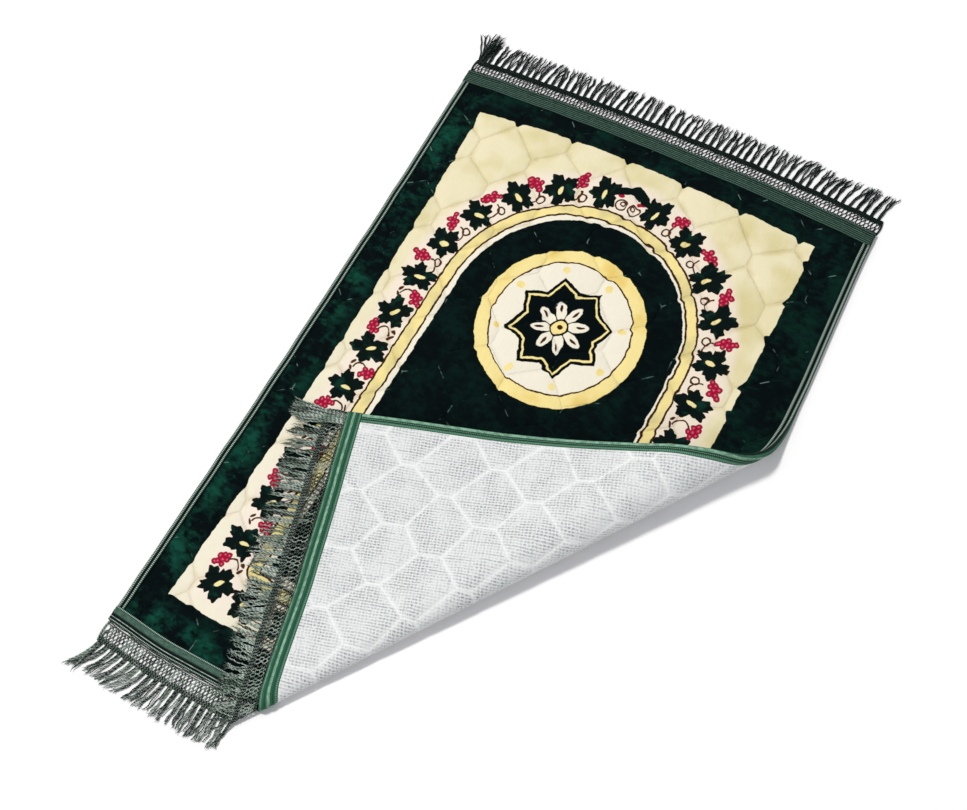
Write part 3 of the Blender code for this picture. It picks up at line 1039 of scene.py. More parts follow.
def ringed_cells(cells):
    """A flat mesh of rings round each cell's middle, closest together along the seams."""
    sides = []
    for number in range(6):
        steps = UPRIGHT_STEPS if number in (2, 5) else SLANT_STEPS
        share = (np.arange(steps) / steps)[None, :, None]
        start, end = cells[:, number, None], cells[:, (number + 1) % 6, None]
        sides.append(start * (1 - share) + end * share)
    rim = np.concatenate(sides, axis=1)
    middle = cells.mean(axis=1)
    share = np.array(SEAM_RINGS)[None, :, None, None]
    rings = rim[:, None] * (1 - share) + middle[:, None, None] * share
    count, ring_count, around = rings.shape[:3]
    ring_points = rings.reshape(-1, 2)
    points = np.concatenate([ring_points, middle])
    _, first, same = np.unique(np.round(points, 6), axis=0, return_index=True, return_inverse=True)
    same = same.ravel()
    spot = np.arange(len(ring_points)).reshape(count, ring_count, around)
    after = np.roll(spot, -1, axis=2)
    bands = np.stack([spot[:, :-1], after[:, :-1], after[:, 1:], spot[:, 1:]], axis=-1).reshape(-1, 4)
    hub = np.broadcast_to((len(ring_points) + np.arange(count))[:, None], (count, around))
    fans = np.stack([spot[:, -1], after[:, -1], hub], axis=-1).reshape(-1, 3)
    return points[first], same[bands].tolist() + same[fans].tolist()


def cut_line(bm, place, normal, clear=False):
    """Cut a flat mesh along a line, and take away what is beyond it if asked."""
    bmesh.ops.bisect_plane(
        bm,
        geom=bm.verts[:] + bm.edges[:] + bm.faces[:],
        dist=CUT_MERGE,
        plane_co=(place[0], place[1], 0),
        plane_no=(normal[0], normal[1], 0),
        clear_outer=clear,
    )


def seam_distance(x, y, cells):
    """How far each place is from the nearest line of the quilting."""
    nearest = np.full(len(x), 1.0)
    for number in range(3, 6):
        starts, ends = cells[:, number], cells[:, (number + 1) % 6]
        for start, end in zip(starts, ends):
            run = end - start
            near = np.abs(x - start[0]) + np.abs(y - start[1]) < SEAM_SEARCH
            dx, dy = x[near] - start[0], y[near] - start[1]
            share = np.clip((dx * run[0] + dy * run[1]) / (run @ run), 0, 1)
            gap = np.hypot(dx - share * run[0], dy - share * run[1])
            nearest[near] = np.minimum(nearest[near], gap)
    return nearest


def flat_sheet(cells):
    """The pad's flat mesh, cut to its outline and across the roll of the fold."""
    points, faces = ringed_cells(cells)
    mesh = bpy.data.meshes.new("flat_sheet")
    mesh.from_pydata(np.column_stack([points, np.zeros(len(points))]).tolist(), [], faces)
    bm = bmesh.new()
    bm.from_mesh(mesh)
    bpy.data.meshes.remove(mesh)
    for normal, half, tape in (((1, 0), HALF_WIDTH, SIDE_TAPE_WIDTH), ((0, 1), HALF_LENGTH, END_TAPE_WIDTH)):
        for side in (-1, 1):
            way = np.array(normal) * side
            cut_line(bm, way * (half - PAD_INSET), way, clear=True)
            for reach in (0.0, EDGE_RISE / 2, EDGE_RISE):
                cut_line(bm, way * (half - tape - CLEARANCE - reach), way)
    for number in range(ROLL_CUTS):
        share = (number + 0.5) / ROLL_CUTS
        start = ALONG * NARROW_END + OUTWARD * (NARROW.lift_off + share * NARROW.roll)
        end = ALONG * WIDE_END + OUTWARD * (WIDE.lift_off + share * WIDE.roll)
        cut_line(bm, start, (end[1] - start[1], start[0] - end[0]))
    bm.verts.index_update()
    places = np.array([vert.co[:2] for vert in bm.verts])
    faces = [[vert.index for vert in face.verts] for face in bm.faces]
    rim = [
        (loop.vert.index, loop.link_loop_next.vert.index)
        for face in bm.faces for loop in face.loops if loop.edge.is_boundary
    ]
    bm.free()
    return places, faces, rim


def pad_layers(x, y, seam, level):
    """The heights of the pad's face and back: pillowed, flat under the tapes, and flat on the floor."""
    to_tape = np.minimum(HALF_WIDTH - SIDE_TAPE_WIDTH - np.abs(x), HALF_LENGTH - END_TAPE_WIDTH - np.abs(y))
    inside = soft_step((to_tape - CLEARANCE) / EDGE_RISE)
    puff = 1 - np.exp(-seam / CUSHION_REACH)
    pucker = cloth_noise(x, y, PUCKER_SIZE, 3) * np.exp(-seam / PUCKER_REACH) * PUCKER_HEIGHT
    slump = (cloth_noise(x, y, SLUMP_SIZE, 1) - SLUMP_MEAN) * SLUMP_HEIGHT * puff
    slump = slump + cloth_noise(x, y, RIPPLE_SIZE, 2) * RIPPLE_HEIGHT
    crown = PAD_THICKNESS / 2
    top = SEAM_TOP + (crown - SEAM_TOP) * puff + pucker + slump
    top = EDGE_TOP + (np.minimum(top, crown + CROWN_SPARE) - EDGE_TOP) * inside
    lifted = off_floor(level) * (STANDING_SHARE + (1 - STANDING_SHARE) * upside_down(level))
    relief = BACK_RELIEF * (crown - SEAM_TOP) * (1 - puff)
    relief = relief + pucker * BACK_PUCKER + (slump + BACK_SLUMP_MEAN) * BACK_SLUMP
    bottom = TAPE_LOW + np.maximum(relief, 0) * lifted * inside
    bottom = bottom + (TAPE_THICKNESS + CLEARANCE) * ramp(to_tape, TUCK_REACH, -TUCK_REACH)
    return top, bottom


def build_pad(plush, backing):
    """The padded rug: pillowed plush face, thin edges under the tapes, and quilted white back."""
    cells = quilt_cells()
    places, faces, rim = flat_sheet(cells)
    x, y = places.T
    seam = seam_distance(x, y, cells)
    drawn_x, drawn_y = drawn(x, y)
    top, bottom = pad_layers(x, y, seam, level_at(drawn_x, drawn_y))
    count = len(x)
    spots = np.concatenate([folded(drawn_x, drawn_y, top), folded(drawn_x, drawn_y, bottom)])
    under = [[index + count for index in reversed(face)] for face in faces]
    skirt = [[b, a, a + count, b + count] for a, b in rim]
    looks = [0] * len(faces) + [1] * len(under) + [0] * len(skirt)
    flat_map = np.column_stack([drawn_x, drawn_y])
    piece = make_piece(
        "quilted_pad",
        spots,
        faces + under + skirt,
        [plush, backing],
        looks,
        np.concatenate([flat_map, flat_map]),
        {"seam": np.concatenate([seam, seam])},
    )
    place_piece(piece, "rug_pad")
    return piece


# ---------------------------------------------------------------- the edge tapes
TAPE_DARK = dye(10, 26, 23)
TAPE_MID = dye(56, 82, 72)
TAPE_SHADED = dye(34, 52, 45)
TAPE_BAND = dye(82, 114, 99)
TAPE_CHAIN = dye(172, 196, 182)
TAPE_GROOVE = dye(3, 10, 9)
SATIN_DARK = dye(32, 78, 58)
SATIN_MID = dye(68, 118, 92)
SATIN_LIGHT = dye(116, 162, 134)
# A pale satin green: a painted highlight on the big rib of the headings' backs, and worn pale satin on the
# binding's back.
SATIN_HIGHLIGHT_AND_WEAR = dye(150, 192, 166)
RIB_PITCH = 0.0029
TWILL_PITCH = 0.0024
DOT_PITCH = 0.0026
STREAKED_SIZE = 0.0016
MOTTLE_SIZE = 0.0045
TAPE_THREAD_SIZE = 0.0008
TAPE_THREAD_DEPTH = 0.0002
TAPE_WEAVE_DEPTH = 0.0005
TAPE_STEP = 0.005
TAPE_POINTS = 34
TURN_START = 0.0009
TURN_BULGE = 0.0002
TURN_ROUNDING = 0.0003
RIPPLE_LENGTH = 0.035
TAPE_RIPPLE = 0.0006
PUFF_LENGTH = 0.03
TAPE_PUFF = 0.0003
RIDGES = {
    # Distance in from the edge, half width and height of each rib, on the face and on the back.
    "heading_face": ((0.0014, 0.0012, 0.0005), (0.0036, 0.0011, 0.0009), (0.0075, 0.0009, 0.0007),
                     (0.0145, 0.0040, 0.0008), (0.0192, 0.0010, 0.0004), (0.0216, 0.0010, 0.0008)),
    "heading_back": ((0.0022, 0.0016, 0.0005), (0.0062, 0.0012, 0.0003), (0.0112, 0.0034, 0.0015),
                     (0.0168, 0.0012, 0.0004), (0.0202, 0.0016, 0.0006)),
    "binding_face": ((0.0022, 0.0014, 0.0008), (0.0062, 0.0014, 0.0008), (0.0102, 0.0014, 0.0007)),
    "binding_back": ((0.0024, 0.0016, 0.0007), (0.0066, 0.0012, 0.0005), (0.0106, 0.0015, 0.0007)),
}


def tape_material(name, face, back, stripes):
    """Ribbed tape: two dyes for its face and its back, and stripes of (place, half width, dye, weave).

    Places are distances in from the outer edge, and below zero on the back.
    """
    material, tree, shader = material_with_shader(name)
    run, inward = flat_place(tree)
    streaked = step_between(noise(flat_vector(run * 0.22, inward), STREAKED_SIZE, 3.0, 0.65), 0.38, 0.62)
    ribs = waves(inward / RIB_PITCH)
    twill = waves((run + inward * 0.9) / TWILL_PITCH)
    dots = step_between(waves(run / DOT_PITCH), 0.40, 0.80)
    mottled = step_between(noise(flat_vector(run * 0.6, inward), MOTTLE_SIZE, 3.0, 0.7), 0.36, 0.62)
    back_colour = dyed(*back, twill * 0.40 + streaked * 0.35)
    face_colour = dyed(*face, ribs * 0.55 + twill * 0.20 + streaked * 0.20)
    colour = dyed(back_colour, face_colour, inward.above(0.0))
    relief = ribs * 0.4 + twill * 0.6
    weaves = {"solid": 1.0, "streaked": (mottled * 0.6 + 0.4) * (streaked * 0.3 + 0.7), "dotted": dots}
    for middle, half, stripe, weave in stripes:
        line = step_between((inward - middle).size(), half, half * 0.6) * weaves[weave]
        colour = dyed(colour, stripe, line)
        relief = relief + line * (0.8 if weave == "dotted" else 0.2)
    threads = noise(flat_vector(run, inward), TAPE_THREAD_SIZE, 1.0)
    feed_all(shader, {
        "Base Color": colour,
        "Normal": bump(threads, TAPE_THREAD_DEPTH, bump(relief, TAPE_WEAVE_DEPTH)),
        "Roughness": 0.55,
        "Specular IOR Level": 0.08,
    })
    return material


def binding_material():
    """The sides' tape: dark green with light stitched chains on its face, lighter green on its back."""
    chains = ((0.0026, 0.0017, TAPE_CHAIN, "dotted"), (0.0098, 0.0019, TAPE_CHAIN, "dotted"),
              (0.0062, 0.0018, TAPE_GROOVE, "solid"), (0.0125, 0.0009, TAPE_GROOVE, "solid"))
    back = ((-0.0026, 0.0022, SATIN_HIGHLIGHT_AND_WEAR, "streaked"), (-0.0070, 0.0018, TAPE_GROOVE, "solid"),
            (-0.0070, 0.0008, SATIN_LIGHT, "dotted"), (-0.0110, 0.0012, SATIN_LIGHT, "dotted"))
    return tape_material("stitched_binding", (TAPE_DARK, TAPE_SHADED), (SATIN_DARK, SATIN_MID), chains + back)


def heading_material(name, face):
    """An end's tape: its face with its own stripes, and satin green on its back."""
    # The pale stripe on the back's big rib is a painted highlight, broken into streaks.
    back = ((-0.0116, 0.0022, SATIN_HIGHLIGHT_AND_WEAR, "streaked"), (-0.0068, 0.0012, SATIN_DARK, "solid"),
            (-0.0170, 0.0016, SATIN_DARK, "solid"), (-0.0210, 0.0011, SATIN_LIGHT, "dotted"),
            (-0.0022, 0.0013, SATIN_LIGHT, "streaked"))
    return tape_material(name, (TAPE_DARK, TAPE_MID), (SATIN_DARK, SATIN_MID), face + back)


def near_heading():
    """The near end's tape: a pale worn inner band, and two grooves with a light line between them."""
    return heading_material("stitched_heading", (
        (0.0164, 0.0042, TAPE_BAND, "streaked"), (0.0219, 0.0012, TAPE_CHAIN, "dotted"),
        (0.0200, 0.0008, TAPE_MID, "streaked"), (0.0097, 0.0019, TAPE_GROOVE, "solid"),
        (0.0073, 0.0008, TAPE_CHAIN, "streaked"), (0.0050, 0.0018, TAPE_GROOVE, "solid"),
        (0.0027, 0.0010, TAPE_CHAIN, "dotted"), (0.0006, 0.0010, TAPE_GROOVE, "solid")))


def far_heading():
    """The far end's tape: nearly black, with fine light lines between narrow grooves; it is drawn darker than
    the near end's tape as painted shade.
    """
    light_lines = (0.0185, 0.0155, 0.0125, 0.0092)
    grooves = (0.0200, 0.0170, 0.0140, 0.0108, 0.0076, 0.0044)
    stripes = [(0.0216, 0.0010, TAPE_BAND, "dotted"), (0.0060, 0.0009, TAPE_BAND, "streaked"),
               (0.0028, 0.0010, TAPE_BAND, "dotted")]
    stripes += [(inward, 0.0008, TAPE_BAND, "streaked") for inward in light_lines]
    stripes += [(inward, 0.0007, TAPE_GROOVE, "solid") for inward in grooves]
    return heading_material("shaded_heading", tuple(stripes))


def ribbed(inward, ridges):
    """The height of a tape's ribs at distances in from its edge."""
    height = np.zeros(len(inward))
    for middle, half, rise in ridges:
        height += rise * np.maximum(1 - ((inward - middle) / half) ** 2, 0) ** 0.7
    return height


def tape_section(width, face_ridges, back_ridges):
    """The tape cut across: distance in from the edge, layer, share of the back's ribs, and map place."""
    inward = np.linspace(width, TURN_START, TAPE_POINTS)
    face = np.column_stack([inward, TAPE_HIGH + ribbed(inward, face_ridges), 0 * inward, inward])
    inward = inward[::-1]
    back = np.column_stack([inward, 0 * inward + TAPE_LOW, ribbed(inward, back_ridges), -inward])
    turn = np.array([
        (TURN_BULGE, TAPE_HIGH - TURN_ROUNDING, 0, 2 * TURN_BULGE),
        (0.0, (TAPE_HIGH + TAPE_LOW) / 2, 0, 0.0),
        (TURN_BULGE, TAPE_LOW + TURN_ROUNDING, 0, -2 * TURN_BULGE),
    ])
    thick = TAPE_THICKNESS
    inner = np.array([
        (width, TAPE_LOW + thick, 0, -width),
        (thick, TAPE_LOW + thick, 0, -width),
        (thick, TAPE_HIGH - thick, 0, width),
        (width, TAPE_HIGH - thick, 0, width),
    ])
    return np.concatenate([face, turn, back, inner])


def outside_out(piece):
    """Turn all faces of a closed piece outwards."""
    bm = bmesh.new()
    bm.from_mesh(piece.data)
    bmesh.ops.recalc_face_normals(bm, faces=bm.faces[:])
    bm.to_mesh(piece.data)
    bm.free()


def build_tape(name, kind, start, end, inward, width, material):
    """Run a tape's section along one edge of the flat rug, draw it and fold it."""
    section = tape_section(width, RIDGES[kind + "_face"], RIDGES[kind + "_back"])
    start, end, inward = np.array(start), np.array(end), np.array(inward)
    length = math.dist(start, end)
    steps = round(length / TAPE_STEP)
    share = np.linspace(0, 1, steps + 1)
    around = len(section)
    line = start + (end - start) * share[:, None]
    ripple = cloth_noise(share * length, share * 0, RIPPLE_LENGTH, len(name)) * TAPE_RIPPLE
    spots = line[:, None] + inward * (section[None, :, :1] + ripple[:, None, None])
    x, y = drawn(spots[..., 0].ravel(), spots[..., 1].ravel())
    height, back_rib = np.tile(section[:, 1], steps + 1), np.tile(section[:, 2], steps + 1)
    layer = height - back_rib * off_floor(level_at(x, y))
    puff = cloth_noise(x, y, PUFF_LENGTH, 5) * TAPE_PUFF * (height > 0)
    places = folded(x, y, layer + puff)
    spot = np.arange(len(places)).reshape(steps + 1, around)
    after = np.roll(spot, -1, axis=1)
    faces = np.stack([spot[:-1], spot[1:], after[1:], after[:-1]], axis=-1).reshape(-1, 4).tolist()
    faces += [spot[0].tolist(), spot[-1, ::-1].tolist()]
    flat_map = np.column_stack([np.repeat(share * length, around), np.tile(section[:, 3], steps + 1)])
    piece = make_piece("tape_" + name, places, faces, [material], flat_map=flat_map)
    outside_out(piece)
    place_piece(piece, name)


def build_tapes():
    """The narrow binding of both sides and the wider heading of both ends."""
    binding = binding_material()
    reach = HALF_LENGTH - END_TAPE_WIDTH - CLEARANCE
    for name, side in (("binding_left", -1), ("binding_right", 1)):
        x = side * HALF_WIDTH
        build_tape(name, "binding", (x, -reach), (x, reach), (-side, 0), SIDE_TAPE_WIDTH, binding)
    for name, side, heading in (("heading_bottom", -1, near_heading()), ("heading_top", 1, far_heading())):
        y = side * HALF_LENGTH
        build_tape(name, "heading", (-HALF_WIDTH, y), (HALF_WIDTH, y), (0, -side), END_TAPE_WIDTH, heading)


# ---------------------------------------------------------------- the yarns
YARN_BLACK = dye(2, 7, 6)
YARN_GREEN = dye(20, 38, 30)
YARN_GREY = dye(118, 146, 126)
YARN_WHITE = dye(230, 243, 233)
YARN_SHADED = dye(24, 34, 35)
YARN_PATCH_SIZE = 0.02
FIBRE_SIZE = 0.0009
FIBRE_DEPTH = 0.0003
FAR_TRIM = (0.20, 0.40)
PLY_SIDES = 3
CORNER_REACH = 1.09
PALE_PLIES = (0.38, 1.00)
DARK_PLIES = (0.00, 0.36)

# The loose fibres at the tip of a yarn.
HAIRS_PER_TIP = 2
HAIR_POINTS = 4
HAIR_SIDES = 3
HAIR_LENGTH = 0.0055
HAIR_UNEVENNESS = 0.0022
HAIR_SPREAD = 0.55
HAIR_RISE = 0.15
HAIR_BEND = 0.0012
HAIR_ROOT_RADIUS = 0.00040
HAIR_TIP_RADIUS = 0.00016
HAIR_SHADE = 0.35
HAIR_LOWEST = 0.0006

# A yarn's two plies: the radius of a ply, how far its middle is from the yarn's, and a turn's length.
Yarn = namedtuple("Yarn", "ply orbit pitch")


def random_from(seed, count):
    """Even random numbers from -1 to 1, the same each run."""
    return np.random.default_rng(seed).uniform(-1, 1, count)


def frayed(steps):
    """How a yarn thins towards its tip."""
    return np.interp(np.linspace(0, 1, steps), (0, 0.85, 1), (1, 1, 0.45))


class YarnWork:
    """Collects twisted yarns into one mesh, with marks for their plies and their way along."""

    def __init__(self):
        self.places = []
        self.faces = []
        self.ply = []
        self.way = []
        self.count = 0

    def spin(self, lines, yarn, seed, lay, pale, thin=None):
        """Twist a dark and a light ply about each line of points, and lay the result on the rug.

        Pale is from -1, with all yarns dark, to 1, with all of them light.
        """
        reach = yarn.ply * CORNER_REACH
        yarns, steps = lines.shape[:2]
        phase = random_from(seed, yarns) * 3
        tone = random_from(seed + 50, yarns) < pale
        run = np.gradient(lines, axis=1)
        flat = np.hypot(run[..., 0], run[..., 1])
        side = np.stack([-run[..., 1], run[..., 0]], axis=-1) / np.maximum(flat, 1e-9)[..., None]
        stretch = np.linalg.norm(np.diff(lines, axis=1), axis=2)
        arc = np.concatenate([np.zeros((yarns, 1)), np.cumsum(stretch, axis=1)], axis=1)
        thin = np.ones(steps) if thin is None else thin
        for ply in (0, 1):
            twist = 2 * np.pi * (arc / yarn.pitch + ply / 2) + phase[:, None]
            corners = []
            for corner in range(PLY_SIDES):
                edge = 2 * np.pi * (corner + 0.5) / PLY_SIDES
                sideways = yarn.orbit * np.cos(twist) + reach * thin * math.cos(edge)
                upward = yarn.orbit * np.sin(twist) + reach * thin * math.sin(edge)
                corners.append(lay(lines, side * sideways[..., None], upward))
            shade = np.where(tone, PALE_PLIES[ply], DARK_PLIES[ply])
            self.add_tubes(np.stack(corners, axis=2), shade, arc / np.maximum(arc[:, -1:], 1e-9))

    def add_tubes(self, rings, shade, way):
        """Add closed tubes: rings is yarns by steps by corners by 3, with a shade for each yarn."""
        yarns, steps, corners = rings.shape[:3]
        spot = self.count + np.arange(yarns * steps * corners).reshape(yarns, steps, corners)
        after = np.roll(spot, -1, axis=2)
        walls = np.stack([spot[:, :-1], spot[:, 1:], after[:, 1:], after[:, :-1]], axis=-1)
        self.faces += walls.reshape(-1, 4).tolist()
        self.faces += spot[:, 0].tolist() + spot[:, -1, ::-1].tolist()
        self.places.append(rings.reshape(-1, 3))
        self.ply.append(np.repeat(shade, steps * corners))
        self.way.append(np.repeat(way.ravel(), corners))
        self.count += spot.size

    def fray(self, lines, seed):
        """Add a few fine loose fibres at the tip of every yarn."""
        count = len(lines) * HAIRS_PER_TIP
        tips = np.repeat(lines[:, -4], HAIRS_PER_TIP, axis=0)
        course = np.repeat(lines[:, -1] - lines[:, -8], HAIRS_PER_TIP, axis=0)
        course /= np.linalg.norm(course, axis=1)[:, None]
        turn = random_from(seed, count) * HAIR_SPREAD
        course[:, 0], course[:, 1] = (
            course[:, 0] * np.cos(turn) - course[:, 1] * np.sin(turn),
            course[:, 0] * np.sin(turn) + course[:, 1] * np.cos(turn),
        )
        course[:, 2] = random_from(seed + 1, count) * HAIR_RISE
        length = HAIR_LENGTH + random_from(seed + 2, count) * HAIR_UNEVENNESS
        share = np.linspace(0, 1, HAIR_POINTS)
        bend = random_from(seed + 3, count) * HAIR_BEND
        across = np.column_stack([-course[:, 1], course[:, 0], 0 * bend])
        middle = tips[:, None] + course[:, None] * (length[:, None] * share)[..., None]
        middle += across[:, None] * (bend[:, None] * share ** 2)[..., None]
        middle[..., 2] = np.maximum(middle[..., 2], HAIR_LOWEST)
        radius = np.linspace(HAIR_ROOT_RADIUS, HAIR_TIP_RADIUS, HAIR_POINTS)
        rings = []
        for corner in range(HAIR_SIDES):
            edge = 2 * np.pi * corner / HAIR_SIDES
            ring_points = middle + across[:, None] * (radius * math.cos(edge))[:, None]
            ring_points[..., 2] += radius * math.sin(edge)
            rings.append(ring_points)
        self.add_tubes(np.stack(rings, axis=2), np.full(count, HAIR_SHADE), np.ones((count, HAIR_POINTS)))

    def finish(self, name, material):
        """Make the piece, with its faces outwards."""
        marks = {"ply": np.concatenate(self.ply), "way": np.concatenate(self.way)}
        piece = make_piece(name, np.concatenate(self.places), self.faces, [material], marks=marks)
        outside_out(piece)
        return piece


def yarn_material():
    """Two-ply yarn, one ply darker than the other, with fine fibres, and painted shade darkening it at the
    far end.
    """
    material, tree, shader = material_with_shader("twisted_yarn")
    ply = mark(tree, "ply")
    way = mark(tree, "way")
    place = tree.nodes.new("ShaderNodeTexCoord").outputs["Object"]
    fibres = noise(place, FIBRE_SIZE, 2.0, 0.6)
    patches = step_between(noise(place, YARN_PATCH_SIZE), 0.35, 0.65)
    parts = tree.nodes.new("ShaderNodeSeparateXYZ")
    feed(parts.inputs[0], place)
    far = step_between(Thread(parts.outputs[1]), *FAR_TRIM)
    dark = dyed(YARN_BLACK, YARN_GREEN, fibres)
    light = dyed(YARN_GREY, YARN_WHITE, patches * 0.5 + fibres * 0.5)
    # The far trim's light ply is darkened with painted shade.
    light = dyed(light, YARN_SHADED, far * 0.93)
    feed_all(shader, {
        "Base Color": dyed(dark, light, ply * (1.0 - way * 0.15)),
        "Normal": bump(fibres, FIBRE_DEPTH),
        "Roughness": 0.8,
        "Specular IOR Level": 0.05,
    })
    return material


# ---------------------------------------------------------------- the fringes
BUNDLES = 60
BUNDLE_PITCH = 0.0116
STRAND_STEPS = 46
BUNCH_STEPS = 84

# The net: how its yarns run from the cord to the braid, wave and cross, and how light they are.
NET_COUNT = 120
NET_PITCH = 0.0058
NET_STEPS = 7
NET_SLANT = 0.006
NET_TWIST = 0.0038
NET_ORBIT = 0.88
NET_HEIGHT = 0.0016
NET_CROSSING = 0.0003
NET_TUCK = 0.001
NET_INSET = 0.0015
NET_MIDDLE = 0.25
NET_SWING = 0.19
NET_HOLD = 2.2
NET_JITTER = 0.0005
NET_WAVE = 0.0015
NET_WAVE_SIZE = 0.008
NET_SLACK = 0.0011
NET_SLACK_SIZE = 0.011
NET_TONES = 0.2
NET_LIGHT_SPAN = (-0.13, -0.09)

# The ropes of the cord and the braid, each with its ply and orbit, and the rope round each end.
ROPE_STEPS = 640
END_ROPE_STEPS = 60
ROPE_HEIGHT = 0.0018
ROPE_PITCH = 0.0042
ROPE_INSET = 0.001
ROPE_WAVE = 0.0010
ROPE_WAVE_SIZE = 0.012
END_ROPE_INSET = 0.0008
END_ROPE_BULGE = 0.0020
END_ROPE_PALE = -0.2
CORD_WIDTH = 0.0021
CORD_ROPE = (0.0006, 0.0006)
BRAID_ROPE = (0.0009, 0.0008)
BRAID_SHARES = (0.08, 0.36, 0.64, 0.92)
END_ROPE = Yarn(ply=0.0010, orbit=0.0008, pitch=0.0050)
BUNCH_YARN = Yarn(ply=0.00078, orbit=0.00064, pitch=0.0064)

# A loose yarn's course to its tip, how high it lies on the floor and on the rug, and how light it is.
WAVE_HEIGHT = 0.0016
SLOW_WAVES = 5
QUICK_WAVES = 16
QUICK_SHARE = 0.60
LEAN_POWER = 1.5
SETTLING = 2.2
FLAP_SPREAD = 0.008
LOOSE_HEIGHT = 0.0016
RUG_LIFT = 0.0098
LIFTED_TRIM = 0.008
LIFTED_PALE = 1.05
LYING_PALE = 0.1
RIGHT_BUNCH_PALE = 0.50

# How unevenly the strands and the bunches grow out of the trim.
ROOT_TUCK = 0.0012
BUNDLE_LEAN = 0.0035
STRAND_LEAN = 0.0034
STRAND_RISE = 0.0012
STRAND_UNEVENNESS = 0.07
LEAN_DRIFT = 0.005
LEAN_DRIFT_SIZE = 0.030
LENGTH_DRIFT = 0.003
LENGTH_DRIFT_SIZE = 0.05
BUNCH_INSET = 0.001
BUNCH_ROOTS = 0.003
BUNCH_UNEVENNESS = 0.12
SHORT_SPAN_RIGHT = (0.13, 0.01)
SHORT_SPAN_LEFT = (-0.13, -0.08)

# A bundle of strands: how many, and how far apart at their roots and at their tips, with their yarn.
Bundle = namedtuple("Bundle", "count spacing spread yarn")

# A bunch of loose yarns at one end of a trim, out from its start, with its tips' lean and spread.
Bunch = namedtuple("Bunch", "end count start width length height lean spread")


@dataclass
class Trim:
    """The sizes of one end's trim, outwards from the heading.

    A lean drift is how much the tips lean more, and the places along the trim where it starts and is whole.
    """

    side: int
    seed: int
    pale: float
    rows: int
    cord: float
    net: float
    net_ply: float
    braid: float
    strand: float
    net_light: float
    tip_lean: float
    lean_drifts: tuple
    shortening: float
    bundle: Bundle
    bunches: tuple

    @property
    def net_end(self):
        return self.cord + self.net

    @property
    def braid_end(self):
        return self.net_end + self.braid

    def lean(self, x):
        """How far the tips of the strands lean along the trim."""
        return self.tip_lean + sum(more * ramp(x, start, end) for more, start, end in self.lean_drifts)

    def shorter(self, x):
        """The share of their length that the strands keep: less beside the fold of the near trim."""
        return 1 - self.shortening * ramp(x, *SHORT_SPAN_RIGHT) * ramp(x, *SHORT_SPAN_LEFT)


TRIMS = {
    "fringe_bottom": Trim(
        side=-1, seed=11, pale=-0.45, rows=4,
        cord=0.006, net=0.023, net_ply=0.00060, braid=0.007, strand=0.044,
        net_light=0.4, tip_lean=-0.003, lean_drifts=((-0.017, -0.16, -0.26), (0.004, -0.12, -0.02)),
        shortening=0.24,
        bundle=Bundle(count=4, spacing=0.0018, spread=0.0028, yarn=Yarn(0.00066, 0.00052, 0.0066)),
        bunches=(
            Bunch(end=-1, count=9, start=0.033, width=0.006, length=0.047, height=0.004,
                  lean=-0.019, spread=0.010),
            Bunch(end=1, count=40, start=0.001, width=0.016, length=0.077, height=0.006,
                  lean=0.002, spread=0.008),
            Bunch(end=1, count=64, start=0.032, width=0.430, length=0.047, height=0.003,
                  lean=0.0, spread=0.009),
        )),
    "fringe_top": Trim(
        side=1, seed=23, pale=-0.20, rows=3,
        cord=0.003, net=0.016, net_ply=0.00048, braid=0.006, strand=0.041,
        net_light=0.0, tip_lean=0.004, lean_drifts=((0.007, -0.10, 0.35),),
        shortening=0.0,
        bundle=Bundle(count=3, spacing=0.0014, spread=0.0036, yarn=Yarn(0.00076, 0.00060, 0.0072)),
        bunches=(
            Bunch(end=-1, count=13, start=0.018, width=0.012, length=0.054, height=0.005,
                  lean=0.004, spread=0.012),
            Bunch(end=-1, count=3, start=0.020, width=0.004, length=0.050, height=0.002,
                  lean=-0.017, spread=0.002),
        )),
}


def trim_lay(trim):
    """How a trim's yarns lie: their lines are (x, out from the edge, height over what they lie on)."""

    def lay(lines, sideways, upward):
        x = lines[..., 0] + sideways[..., 0]
        out = lines[..., 1] + sideways[..., 1]
        shape = x.shape
        x, y = drawn(x.ravel(), trim.side * (HALF_LENGTH + CLEARANCE + out.ravel()))
        layer = level_at(x, y) * (TAPE_LOW + lines[..., 2].ravel()) + upward.ravel()
        return folded(x, y, layer).reshape(*shape, 3)

    return lay


def straight_lay(lines, sideways, upward):
    """Yarns whose lines are already where they belong."""
    spots = lines.copy()
    spots[..., :2] += sideways
    spots[..., 2] += upward
    return spots


def spin_ropes(work, trim):
    """The cords next to the heading, the braid at the net's outer edge, and a rope round each end."""
    x = np.linspace(-HALF_WIDTH + ROPE_INSET, HALF_WIDTH - ROPE_INSET, ROPE_STEPS)
    cords = max(2, round(trim.cord / CORD_WIDTH))
    rows = [((number + 0.5) * trim.cord / cords, *CORD_ROPE) for number in range(cords)]
    rows += [(trim.net_end + share * (trim.braid_end - trim.net_end), *BRAID_ROPE) for share in BRAID_SHARES]
    for number, (out, ply, orbit) in enumerate(rows):
        wave = cloth_noise(x, x * 0, ROPE_WAVE_SIZE, trim.seed + number) * ROPE_WAVE
        line = np.column_stack([x, out + wave, np.full(len(x), ROPE_HEIGHT)])[None]
        rope = Yarn(ply, orbit, ROPE_PITCH * (-1) ** number)
        work.spin(line, rope, trim.seed + number, trim_lay(trim), -1)
    share = np.linspace(0, 1, END_ROPE_STEPS)
    for end in (-1, 1):
        bulge = end * (HALF_WIDTH - END_ROPE_INSET + END_ROPE_BULGE * np.sin(share * math.pi))
        line = np.column_stack([bulge, share * trim.braid_end, ROPE_HEIGHT + 0 * share])[None]
        work.spin(line, END_ROPE, trim.seed + end, trim_lay(trim), END_ROPE_PALE)


